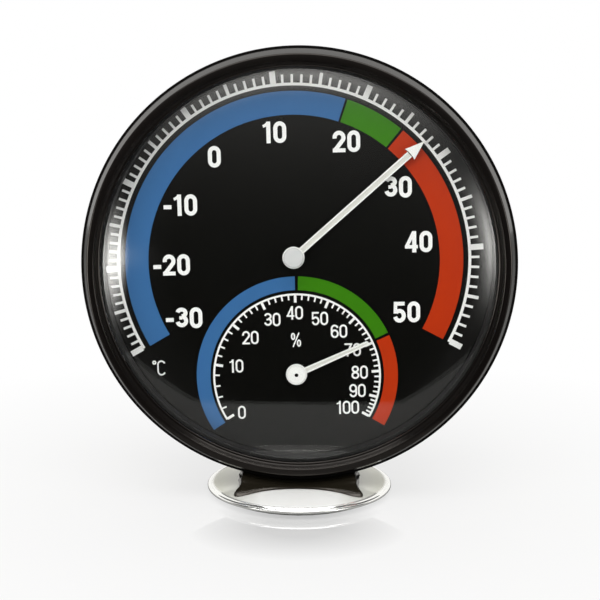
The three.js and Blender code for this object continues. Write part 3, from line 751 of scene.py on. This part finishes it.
def add_block(mesh):
    """The block behind the flange, whose top follows the tub, and the tongue in the socket."""
    front, back, half_width, tub_radius = mm(3.3, 11.9, 12, 58.8)
    low = plateau + 0.4 * MM
    rows = []
    for i in range(25):
        x = half_width * (2 * i / 24 - 1)
        top = case_centre - math.sqrt(tub_radius ** 2 - x ** 2)
        rows.append([mesh.verts.new((x, y, z)) for y, z in
                     ((front, low), (back, low), (back, top), (front, top))])
    for first, second in zip(rows, rows[1:]):
        join_loops(mesh, first, second)
    mesh.faces.new(rows[0])
    mesh.faces.new(rows[-1])
    tongue_width, tongue_depth, tongue_place = mm(12, 4.4, 6.7)
    middle = Matrix.Translation((0, tongue_place, (saddle_high.z + SADDLE_TOP) / 2))
    size = Matrix.Diagonal((tongue_width, tongue_depth, saddle_high.z - SADDLE_TOP, 1))
    bmesh.ops.create_cube(mesh, size=1, matrix=middle @ size)


saddle = add_piece("saddle_moulding", saddle_mesh(), "stand", "black_gloss", material=saddle_gloss,
                   replaces=["saddle"], smooth=42)
# Painted shade: the side faces get a near-black dull finish, darker than the rest of the saddle
second_finish(saddle, "dull_black_and_painted_shade", lambda face: abs(face.normal.x) > 0.7)

# %% [markdown]
# ## Printing on the dial
#
# The scales are ink, so each is a flat shape two or three hundredths of a millimetre thick on
# the sheet. Shapes are drawn in the instrument's frame in millimetres, from angles read
# clockwise from the top, and collected in one mesh per ink.

# %% Flat shapes for the inks
INK_FOOT, BAND_TOP, LINE_TOP = mm(0.004, 0.02, 0.03)


class Print:
    def __init__(self, thickness):
        self.mesh = bmesh.new()
        self.thickness = thickness

    def outline(self, points):
        """A thin closed shape, from points in millimetres."""
        metres = [(x * MM, y * MM) for x, y in points]
        plate(self.mesh, metres, dial_face + INK_FOOT, dial_face + self.thickness)

    def band(self, outer, inner, start, end):
        """The shape between two circles (x, y, radius), in short pieces."""
        count = max(1, round(abs(end - start) / 2))
        for i in range(count):
            angles = [start + (end - start) * k / count for k in (i, i + 1)]
            far = [spot(outer, angle) for angle in angles]
            near = [spot(inner, angle) for angle in reversed(angles)]
            self.outline(far + near)

    def line(self, circle, width, start, end):
        """A line along a circle (x, y, radius)."""
        x, y, radius = circle
        self.band((x, y, radius + width / 2), (x, y, radius - width / 2), start, end)

    def tick(self, circle, angle, start, end, width):
        """A bar across a circle at an angle, from one distance to another outside its line."""
        a, half = math.radians(angle), width / 2
        inner, outer = circle[2] + start, circle[2] + end
        corners = ((-half, inner), (-half, outer), (half, outer), (half, inner))
        self.outline([(circle[0] + y * math.sin(a) + x * math.cos(a),
                       circle[1] + y * math.cos(a) - x * math.sin(a)) for x, y in corners])

    def place(self, name, material):
        add_piece(name, self.mesh, "case", "dial_black", INSTRUMENT, material)


def spot(circle, angle):
    a = math.radians(angle)
    return circle[0] + circle[2] * math.sin(a), circle[1] + circle[2] * math.cos(a)


# %% [markdown]
# The temperature scale opens slightly towards its warm end, because a coil turns a little more
# for each degree when it is warm. The humidity scale closes up towards its wet end.


# %% Where the scales' figures stand, in degrees clockwise from the top
def temperature_angle(degrees):
    k = (degrees + 30) / 10
    return -120 + 27.4 * k + 0.32 * k * (k - 1)


HUMIDITY_ANGLES = [-122, -82, -50.7, -25.3, -1.3, 22.1, 44, 65.3, 85.9, 104.4, 119.1]


def humidity_slope(k):
    """Mean slope of the scale at a ten, from the tens beside it."""
    before, after = max(k - 1, 0), min(k + 1, 10)
    return (HUMIDITY_ANGLES[after] - HUMIDITY_ANGLES[before]) / (after - before)


def humidity_angle(percent):
    """Between the tens, on a smooth curve through their angles."""
    k = min(int(percent // 10), 9)
    t = percent / 10 - k
    first, second = humidity_slope(k), humidity_slope(k + 1)
    rise = HUMIDITY_ANGLES[k + 1] - HUMIDITY_ANGLES[k]
    return (HUMIDITY_ANGLES[k] + first * t + (3 * rise - 2 * first - second) * t ** 2
            + (first + second - 2 * rise) * t ** 3)


print("20 degrees at", temperature_angle(20), "55 % at", humidity_angle(55))

# %% Coloured bands: the angles of each on the large and on the small scale
BIG_OUTER, BIG_INNER = (-1.6, 1.2, 50.8), (-1.6, 1.2, 43.8)
SMALL_OUTER, SMALL_INNER = (-0.6, -33.9, 30.6), (-0.6, -33.9, 26.4)
BANDS = {
    "blue": ((-120.7, 17.5), (-123.6, -1.4)),
    "green": ((18.3, 38.7), (0.4, 63.8)),
    "red": ((39.6, 117.6), (65.4, 119.8)),
}
for name, (big_range, small_range) in BANDS.items():
    colour = Print(BAND_TOP)
    colour.band(BIG_OUTER, BIG_INNER, *big_range)
    colour.band(SMALL_OUTER, SMALL_INNER, *small_range)
    colour.place("band_" + name, inks[name])

# %% Scale lines, and the length and width of a tick at each step
BIG_LINE, SMALL_LINE = (-1.6, 1.2, 52.77), (-0.66, -34.0, 25.22)
BIG_TICKS = {10: (4.15, 1.75), 5: (3.85, 1.0), 1: (2.85, 0.75)}
SMALL_TICKS = {10: (2.5, 0.8), 2: (1.7, 0.5)}


def tick_size(sizes, value):
    return next(size for step, size in sizes.items() if value % step == 0)


lines = Print(LINE_TOP)
lines.line(BIG_LINE, 0.86, -120.4, 117.5)
lines.line(SMALL_LINE, 0.6, -122.4, 119.5)
for degree in range(-30, 51):
    length, width = tick_size(BIG_TICKS, degree)
    lines.tick(BIG_LINE, temperature_angle(degree), 0.3, length, width)
for percent in range(0, 101, 2):
    length, width = tick_size(SMALL_TICKS, percent)
    lines.tick(SMALL_LINE, humidity_angle(percent), -length, -0.2, width)
lines.place("scale_lines", inks["white"])

# %% [markdown]
# ## Figures
#
# A gauge has condensed upright figures. A text object would bring a typeface with it, so they are
# drawn as a sign writer does it, in a few strokes of even thickness. A stroke is a chain of
# four-sided patches along its middle line. A Delaunay triangulation merges the patches of a text,
# and the result is extruded.


# %% Middle lines of the strokes
def ring(*sizes):
    """A closed oval, with the start repeated so that its ends join."""
    points = oval(*sizes)
    return points + points[1:2]


def bar(share, *corners):
    """A stroke along straight lines, from its corners' coordinates."""
    return list(zip(corners[::2], corners[1::2])), share


def figure_strokes(sign, width, thick):
    """Middle lines of a sign one unit high, with the share of its thickness that each has."""
    a = thick / 2
    middle, across = width / 2, (width - thick) / 2
    low, high = a + across * 1.08, 1 - a - across * 1.08
    upper, lower = ((middle, high), across, 1 - a - high), ((middle, low), across, low - a)
    side = oval(*upper, 180, 0) + oval(*lower, 0, -180)
    eye = width * 0.22 - a, 0.26 - a, 90, -270, 20
    half_height = (0.535 - a * 2) / 2
    six = [(ring((middle, 0.32), across, 0.32 - a, 180, -180, 28), 1),
           (oval(*upper, 14, 180) + [(a, 0.32)], 1)]
    strokes = {
        "0": [(side + side[:2], 1)],
        "1": [bar(1, width * 0.66, 0, width * 0.66, 1),
              bar(0.7, width * 0.66, 0.95, width * 0.66 - a * 1.6, 0.82, 0.04, 0.78)],
        "2": [(oval(*upper, 190, -30) + [(a * 1.2, a * 1.2)], 1),
              bar(0.95, 0.0, a, width - 0.01, a)],
        "3": [(oval((middle, 0.745), across * 0.93, 0.255 - a, 168, -90), 1),
              (oval((middle, half_height + a * 2), across, half_height + a * 0.35, 90, -168), 1),
              bar(0.85, middle * 0.62, 0.51, middle * 1.1, 0.51)],
        "4": [bar(1, width * 0.72, 0, width * 0.72, 1), bar(0.85, 0, 0.27, width, 0.27),
              bar(0.85, 0.06, 0.25, width * 0.72 - a * 0.2, 0.96)],
        "5": [bar(0.95, a * 0.9, 1 - a, width - 0.05, 1 - a),
              bar(0.85, a * 1.35, 1, a * 1.1, 0.44),
              (oval((middle, 0.33), across, 0.33 - a, 142, -168), 1)],
        "6": six,
        "7": [bar(0.95, 0, 1 - a, width, 1 - a), bar(
            1, width - a - 0.01, 0.93, width * 0.6, 0.55, width * 0.42, 0.24, width * 0.36, 0)],
        "8": [(ring((middle, 0.735), across * 0.9, 0.265 - a, 90, -270, 28), 1),
              (ring((middle, 0.275), across, 0.275 - a, 90, -270, 28), 1)],
        "9": [([(width - x, 1 - y) for x, y in line], share) for line, share in six],
        "-": [bar(1, 0, 0.42, width, 0.42)],
        "C": [(oval(*upper, 22, 180) + oval(*lower, 180, 338), 1)],
        "%": [(ring((width * 0.22, 0.74), *eye), 0.9), (ring((width * 0.78, 0.26), *eye), 0.9),
              bar(0.8, width * 0.2, 0, width * 0.8, 1)],
        "°": [(ring((middle, 1 - middle), across, across, 90, -270, 20), 1)],
    }
    return strokes[sign]


# %% Patches along a stroke
def stroke_patches(line, thick):
    """Four-sided patches of a stroke that share their corners at each bend."""
    points = [Vector(point) for point in line]
    ways = [(b - a).normalized() for a, b in zip(points, points[1:])]
    sides = []
    for point, first, last in zip(points, ways[:1] + ways, ways + ways[-1:]):
        along = (first + last).normalized()
        across = Vector((-along.y, along.x)) * (thick / 2 / max(0.5, along.dot(first)))
        sides.append((point + across, point - across))
    return [(a[1], b[1], b[0], a[0]) for a, b in zip(sides, sides[1:])]


def merged(patches):
    """Points and triangles of the area that the patches cover together."""
    points = [corner for patch in patches for corner in patch]
    faces = [list(range(4 * i, 4 * i + 4)) for i in range(len(patches))]
    corners, _, triangles, _, _, owners = delaunay_2d_cdt(points, [], faces, 1, 1e-6)
    return corners, [face for face, owner in zip(triangles, owners) if owner]


# %% Texts as thin meshes
WIDTHS_OF_SIGNS = {"1": 0.74, "-": 0.62, "°": 0.55, "%": 1.3, "C": 1.1}
SIGN_GAP = 0.42
DIAL_TURN = 1.4


def set_figures(mesh, texts, height, width, thick):
    """Texts as thin ink about places in millimetres; width and thick are shares of the height."""
    turn = Matrix.Rotation(math.radians(DIAL_TURN), 2)
    for text, place in texts.items():
        patches, pen = [], 0.0
        for sign in text:
            wide = width * WIDTHS_OF_SIGNS.get(sign, 1)
            for line, share in figure_strokes(sign, wide, thick):
                moved = [(x + pen, y) for x, y in line]
                patches += stroke_patches(moved, thick * share)
            pen += wide + thick * SIGN_GAP
        corners, triangles = merged(patches)
        xs, ys = zip(*corners)
        middle = Vector(((max(xs) + min(xs)) / 2, (max(ys) + min(ys)) / 2))
        size = height / (max(ys) - min(ys))
        spots = [Vector(place) + turn @ (corner - middle) * size for corner in corners]
        low = [mesh.verts.new((*(spot * MM), dial_face + INK_FOOT)) for spot in spots]
        flat = [mesh.faces.new([low[i] for i in triangle]) for triangle in triangles]
        for lifted in bmesh.ops.extrude_face_region(mesh, geom=flat)["geom"]:
            if isinstance(lifted, bmesh.types.BMVert):
                lifted.co.z = dial_face + LINE_TOP


# %% Figures of both scales, with the middle of each in millimetres
BIG_FIGURES = {
    "-30": (-34.84, -16.11), "-20": (-38.42, 0.06), "-10": (-35.57, 18.1), "0": (-25.25, 32.54),
    "10": (-7.37, 39.79), "20": (14.01, 37.11), "30": (29.49, 23.61), "40": (35.73, 7.25),
    "50": (32.44, -14.07),
}
SMALL_FIGURES = {
    "0": (-17.5, -45.27), "10": (-19.09, -30.86), "20": (-14.78, -22.07), "30": (-8.12, -16.52),
    "40": (-1.34, -14.42), "50": (6.27, -16.14), "60": (12.06, -20.01), "70": (16.23, -25.72),
    "80": (18.37, -32.64), "90": (17.76, -38.32), "100": (14.84, -43.56),
}
figures = Print(LINE_TOP)
set_figures(figures.mesh, BIG_FIGURES, 6.4, 0.6, 0.19)
set_figures(figures.mesh, SMALL_FIGURES, 4.1, 0.58, 0.135)
set_figures(figures.mesh, {"°C": (-42.72, -31.57)}, 4.7, 0.5, 0.1)
set_figures(figures.mesh, {"%": (-0.95, -22.7)}, 4.5, 0.55, 0.11)
figures.place("dial_figures", inks["white"])

# %% [markdown]
# ## Pointers
#
# A pointer is stamped from thin sheet, with rolled edges, a channel that stiffens the blade and
# a disc on the shaft. A plate's front face is inset twice for the channel, and its front edges
# are bevelled. The arrow's head is a plate of its own, because the channel ends at the neck.
# The channel's faces get a darker grey paint: painted shade in the pressed channel.

# %% Stamped plates
SHEET, OVERLAP, ROLLED_EDGE = mm(0.5, 0.02, 0.1)
CHANNEL_RIM, CHANNEL_WALL, CHANNEL_DEPTH = mm(0.4, 0.08, 0.16)
HEAD_RISE, HUB_RISE, HUB_EDGE = mm(0.03, 0.04, 0.14)
SLEEVE_RADIUS, SLEEVE_GAP, SLEEVE_EDGE = mm(2.0, 0.3, 0.02)


def stamped(mesh, outline, back, front, bevel, channel=False):
    """A plate with bevelled front edges; with channel, the pressed faces get material 1."""
    top = plate(mesh, outline, back, front)
    mesh.normal_update()
    if channel:
        bmesh.ops.inset_region(mesh, faces=[top], thickness=CHANNEL_RIM, use_even_offset=True)
        bmesh.ops.inset_region(mesh, faces=[top], thickness=CHANNEL_WALL, depth=-CHANNEL_DEPTH)
        pressed_top, pressed_low = front - 0.5 * CHANNEL_DEPTH, back + 0.1 * CHANNEL_DEPTH
        for face in mesh.faces:
            heights = [vertex.co.z for vertex in face.verts]
            face.material_index = int(max(heights) < pressed_top and min(heights) > pressed_low)
    mesh.normal_update()
    edges = [edge for edge in mesh.edges if all(abs(v.co.z - front) < 1e-7 for v in edge.verts)
             and any(abs(face.normal.z) < 0.1 for face in edge.link_faces)]
    bmesh.ops.bevel(mesh, geom=edges, offset=bevel, segments=3, affect="EDGES", profile=0.6,
                    material=0)


def rounded(points, radius):
    """An outline with its corners rounded."""
    points = [Vector(point) for point in points]
    result = []
    for before, here, after in zip(points[-1:] + points, points, points[1:] + points[:1]):
        cut = min(radius, (before - here).length * 0.45, (after - here).length * 0.45)
        start, end = (here + (far - here).normalized() * cut for far in (before, after))
        result += [start.lerp(here, t).lerp(here.lerp(end, t), t) for t in (0, 0.25, 0.5, 0.75, 1)]
    return result


def add_pointer(name, body, node, outline, shaft, angle, hub_radius, head=None):
    """Blade, head, hub disc and sleeve, turned clockwise by the angle of the photo's reading."""
    mesh = bmesh.new()
    front, _ = front_and_back(node)
    back = front - SHEET
    stamped(mesh, outline, back, front, ROLLED_EDGE, channel=True)
    if head:
        stamped(mesh, head, back - OVERLAP, front + HEAD_RISE, ROLLED_EDGE)
    stamped(mesh, polygon(hub_radius), back - OVERLAP, front + HUB_RISE, HUB_EDGE)
    stamped(mesh, polygon(SLEEVE_RADIUS, 40), dial_face + SLEEVE_GAP, back, SLEEVE_EDGE)
    matrix = at_shaft(shaft) @ Matrix.Rotation(-math.radians(angle), 4, "Z")
    piece = add_piece(name, mesh, body, "pointer_white", matrix, replaces=[node], smooth=35)
    # The channel's faces take this second finish, a darker grey that is painted shade
    piece.data.materials.append(finishes["channel_painted_shade"])


# %% Arrow over the temperature scale
LENGTH, HALF, HEAD_LENGTH, HEAD_HALF, TIP_HALF = mm(51.5, 1.0, 5.5, 2.1, 0.12)
neck = LENGTH - HEAD_LENGTH
blade_end, head_start = neck + 1.2 * MM, neck + 0.2 * MM
blade = [(HALF, 0), (HALF, blade_end), (-HALF, blade_end), (-HALF, 0)]
head = rounded([(HALF, head_start), (HEAD_HALF, neck), (TIP_HALF, LENGTH),
                (-TIP_HALF, LENGTH), (-HEAD_HALF, neck), (-HALF, head_start)], 0.12 * MM)
add_pointer("arrow", "temperature_pointer", "thermometer_pointer", blade, big_shaft, 48.1,
            3.3 * MM, head)

# %% Needle over the humidity scale
NEEDLE_LENGTH, NEEDLE_HALF, NEEDLE_TIP = mm(23.9, 0.95, 0.675)
tip = arc((0, NEEDLE_LENGTH - NEEDLE_TIP), NEEDLE_TIP, 0, 180, 12)
blade = [(NEEDLE_HALF, 0), *tip, (-NEEDLE_HALF, 0)]
add_pointer("needle", "humidity_pointer", "hygrometer_pointer", blade, small_shaft, 65.6, 3.2 * MM)

# %% [markdown]
# ## Hubs
#
# A grey button closes the arrow's hub. The needle's hub has a white collar with a ring pressed
# in its face, and in its hole shows the drilled end of the shaft. All three are turned bodies.

# %% Hub cap and collar
CAP_RADIUS, CAP_ROUND = mm(2.95, 0.3)
cap_front, cap_back = front_and_back("thermometer_hub_cap")
cap_profile = [(0, cap_back), (CAP_RADIUS, cap_back),
               *arc((CAP_RADIUS - CAP_ROUND, cap_front - 0.34 * MM), CAP_ROUND, 0, 85, 6),
               (CAP_RADIUS * 0.5, cap_front - 0.01 * MM), (0, cap_front)]
add_piece("hub_cap", spin(cap_profile, 64), "temperature_pointer", "hub_grey",
          at_shaft(big_shaft), replaces=["thermometer_hub_cap"], smooth=40)
COLLAR_RADIUS, COLLAR_ROUND, BORE, HOLE = mm(2.85, 0.25, 0.9, 0.58)
collar_front, collar_back = front_and_back("hygrometer_hub_collar")
web = collar_front - 0.1 * MM
rounding = arc((COLLAR_RADIUS - COLLAR_ROUND, collar_front - COLLAR_ROUND), COLLAR_ROUND, 0, 90, 6)
RING_OUTER, RING_MIDDLE, RING_INNER, RING_DEPTH = mm(2.0, 1.86, 1.72, 0.05)
groove = [(RING_OUTER, collar_front), (RING_MIDDLE, collar_front - RING_DEPTH),
          (RING_INNER, collar_front)]
collar_profile = [(BORE, collar_back), (COLLAR_RADIUS, collar_back), *rounding, *groove,
                  (HOLE, collar_front), (HOLE, web), (BORE, web)]
add_piece("hub_collar", spin(collar_profile, 64), "humidity_pointer", "pointer_white",
          at_shaft(small_shaft), replaces=["hygrometer_hub_collar"], smooth=40)

# %% Drilled shaft under the collar, painted near black inside its hole as painted shade
JOURNAL, SPIGOT, DRILL = mm(0.8, 0.6, 0.56)
shaft_front, shaft_back = front_and_back("hygrometer_shaft")
needle_front, _ = front_and_back("hygrometer_pointer")
shoulder, drill_end = needle_front - SHEET, needle_front + 0.1 * MM
shaft_profile = [(0, shaft_back), (JOURNAL, shaft_back), (JOURNAL, shoulder), (SPIGOT, shoulder),
                 (SPIGOT, shaft_front), (DRILL, shaft_front), (DRILL, drill_end), (0, drill_end)]
shaft = add_piece("drilled_shaft", spin(shaft_profile, 40), "humidity_pointer", "steel",
                  at_shaft(small_shaft), replaces=["hygrometer_shaft"], smooth=40)

# The faces inside the hole get the near-black finish: painted shade of the hole, not the steel's
# colour
hole_edge = DRILL + 0.01 * MM
second_finish(shaft, "dull_black_and_painted_shade", lambda face: -face.center.y > needle_front and math.hypot(
    face.center.x - small_shaft[0], face.center.z - small_shaft[1]) < hole_edge)

# %% [markdown]
# ## Camera
#
# The camera was fitted to the outlines of the case, the dial's scales and the disc. The frame is
# shifted a little, so that the instrument sits where it does in the photograph.

# %% Camera
FRAME_WIDTH, SENSOR_WIDTH = 600, 36
AZIMUTH, ELEVATION, DISTANCE = math.radians(1.0), math.radians(6.97), 0.35
FOCUS_PIXELS, MIDDLE_X, MIDDLE_Y = 1153.2, 299.36, 260.76
target = Vector((0, 0, 71.5 * MM))
toward = Vector((-math.sin(AZIMUTH) * math.cos(ELEVATION), math.cos(AZIMUTH) * math.cos(ELEVATION),
                 -math.sin(ELEVATION)))
optics = bpy.data.cameras.new("camera")
optics.sensor_width = SENSOR_WIDTH
optics.sensor_fit = "HORIZONTAL"
optics.lens = SENSOR_WIDTH * FOCUS_PIXELS / FRAME_WIDTH
optics.shift_x = -(MIDDLE_X - FRAME_WIDTH / 2) / FRAME_WIDTH
optics.shift_y = (MIDDLE_Y - FRAME_WIDTH / 2) / FRAME_WIDTH
optics.clip_start = 0.01
camera = bpy.data.objects.new("camera", optics)
camera.location = target - toward * DISTANCE
camera.rotation_euler = toward.to_track_quat("-Z", "Y").to_euler()
scene.collection.objects.link(camera)
scene.camera = camera
print("camera at", [round(v, 4) for v in camera.location])

# %% [markdown]
# ## Floor and background
#
# The instrument stands on a white sheet in front of a white wall. The camera sees both white,
# but for the soft shadow and an oval patch of polish in front of the disc, which gives a faint
# mirror image. Near the instrument the sheet glows less, which paints a wide soft shade round it
# on top of the real shadow. The sheet ends in front of the instrument, so the window mirrors its
# edge.

# %% Floor
WHITE = (1.0, 1.0, 1.0)
TABLE_FRONT, HALF_SIZE = -0.095, 3.0
PATCH_STRETCH, PATCH_FRONT = 1.25, 0.034


def floor_material():
    f = Finish("floor")
    x, y, _ = f.split(f.place())
    distance = (x * x + y * y) ** 0.5
    from_polish = ((x / PATCH_STRETCH) ** 2 + (y + PATCH_FRONT) ** 2) ** 0.5
    polished = 1 - from_polish.over(0.008, 0.025)
    from_camera = f.node("ShaderNodeLightPath", output="Is Camera Ray")
    # Painted shade: the sheet glows less near the instrument, so it is darker there, on top of the
    # real shadow
    far = distance.over(0.035, 0.2)
    pale = f.mix(from_camera, (0.36, 0.36, 0.355), (0.66, 0.66, 0.655))
    tone = f.mix(f.noise(900) * 0.02, pale, (0.4, 0.4, 0.4))
    sheet = f.shader(base_color=tone, roughness=0.6, specular_ior_level=0.0)
    glow = f.node("ShaderNodeEmission", {"Color": WHITE})
    white = f.node("ShaderNodeMixShader", [from_camera * (0.7 + far * 0.3), sheet, glow])
    gloss = f.node("ShaderNodeBsdfGlossy", {"Color": WHITE, "Roughness": 0.03})
    turned = f.node("ShaderNodeLayerWeight", {"Blend": 0.5}, output="Facing")
    share = (turned ** 5 * 1.9 + 0.06) * polished * from_camera
    return f.finish(f.node("ShaderNodeMixShader", [share, white, gloss]))


floor_mesh = bmesh.new()
middle = Matrix.Translation((0, HALF_SIZE + TABLE_FRONT, 0))
bmesh.ops.create_grid(floor_mesh, x_segments=8, y_segments=8, size=HALF_SIZE, matrix=middle)
floor = add_object("floor", floor_mesh, floor_material())

# %% [markdown]
# ## The room that the instrument mirrors
#
# Black gloss shows its surroundings. The room behind the instrument is white. In front it is
# dark but for three soft panels, which make the light lines on the bezel and the pale ring in the
# window's turned edge. The world's shader knows where a ray looks, so a panel is a soft patch
# about a direction, in degrees as seen from the dial.

# %% Soft panels
scene.world = bpy.data.worlds.new("studio")
sky = Finish(world=scene.world)
dx, dy, dz = sky.split(sky.node("ShaderNodeTexCoord", output="Generated"))
around = dx.math("ARCTAN2", dy * -1) * (180 / math.pi)
above = dz.math("ARCSINE") * (180 / math.pi)


def soft_patch(side, height, half_width, half_height, power=2, flare=0):
    """A bright patch that fades out. With flare it gets taller to the outside, in degrees per
    degree, and a higher power gives it steeper sides."""
    across = abs((around - side) / half_width) ** power
    reach = (abs(around) - abs(side)) * flare + half_height
    up = ((above - height) / reach.math("MAXIMUM", 1.0)) ** 2
    return ((across + up) * -1).math("EXPONENT")


left_panel = soft_patch(-40, -6.2, 19.5, 7.2, 6, flare=0.28) * 10.5
right_panel = soft_patch(46, -2, 14, 7.5) * 11
top_panel = soft_patch(0, 38, 28, 20) * 3.0
print("sky", len(sky.tree.nodes), "nodes for three panels")

# %% Room around the panels, darkest behind the camera
ahead = 1 - dy.over(-0.1, 0.1)
core = ((around / 15) ** 2 + ((above + 7) / 16) ** 2).over(0.7, 1.5)
dark = core * 0.06 + 0.01
level = (1 - ahead) + (dark + left_panel + right_panel + top_panel) * ahead
light = sky.node("ShaderNodeBackground", {"Color": WHITE})
room = sky.node("ShaderNodeBackground", {"Color": (1.0, 0.99, 0.965), "Strength": level})
from_camera = sky.node("ShaderNodeLightPath", output="Is Camera Ray")
sky.finish(sky.node("ShaderNodeMixShader", [from_camera, room, light]), "ShaderNodeOutputWorld")

# %% [markdown]
# ## Lights
#
# The panels light the front. One soft box over the table lights the top of the disc and gives
# the soft shadow under the case. The camera doesn't see it.

# %% Soft box
place, aim = Vector((0, -0.26, 0.6)), Vector((0, -0.02, 0.05))
width, depth, radiance = 0.8, 0.36, 3.0
data = bpy.data.lights.new("panel_above", "AREA")
data.shape = "RECTANGLE"
data.size, data.size_y = width, depth
data.energy = radiance * math.pi * width * depth
lamp = bpy.data.objects.new("panel_above", data)
lamp.location = place
lamp.rotation_euler = (aim - place).to_track_quat("-Z", "Y").to_euler()
lamp.visible_camera = False
scene.collection.objects.link(lamp)
print("light", lamp.name, round(data.energy, 2), "W")

# %% [markdown]
# ## Colour
#
# The picture keeps the plain view, so a colour renders about as it is written.

# %% Settings and the end
scene.view_settings.view_transform = "Standard"
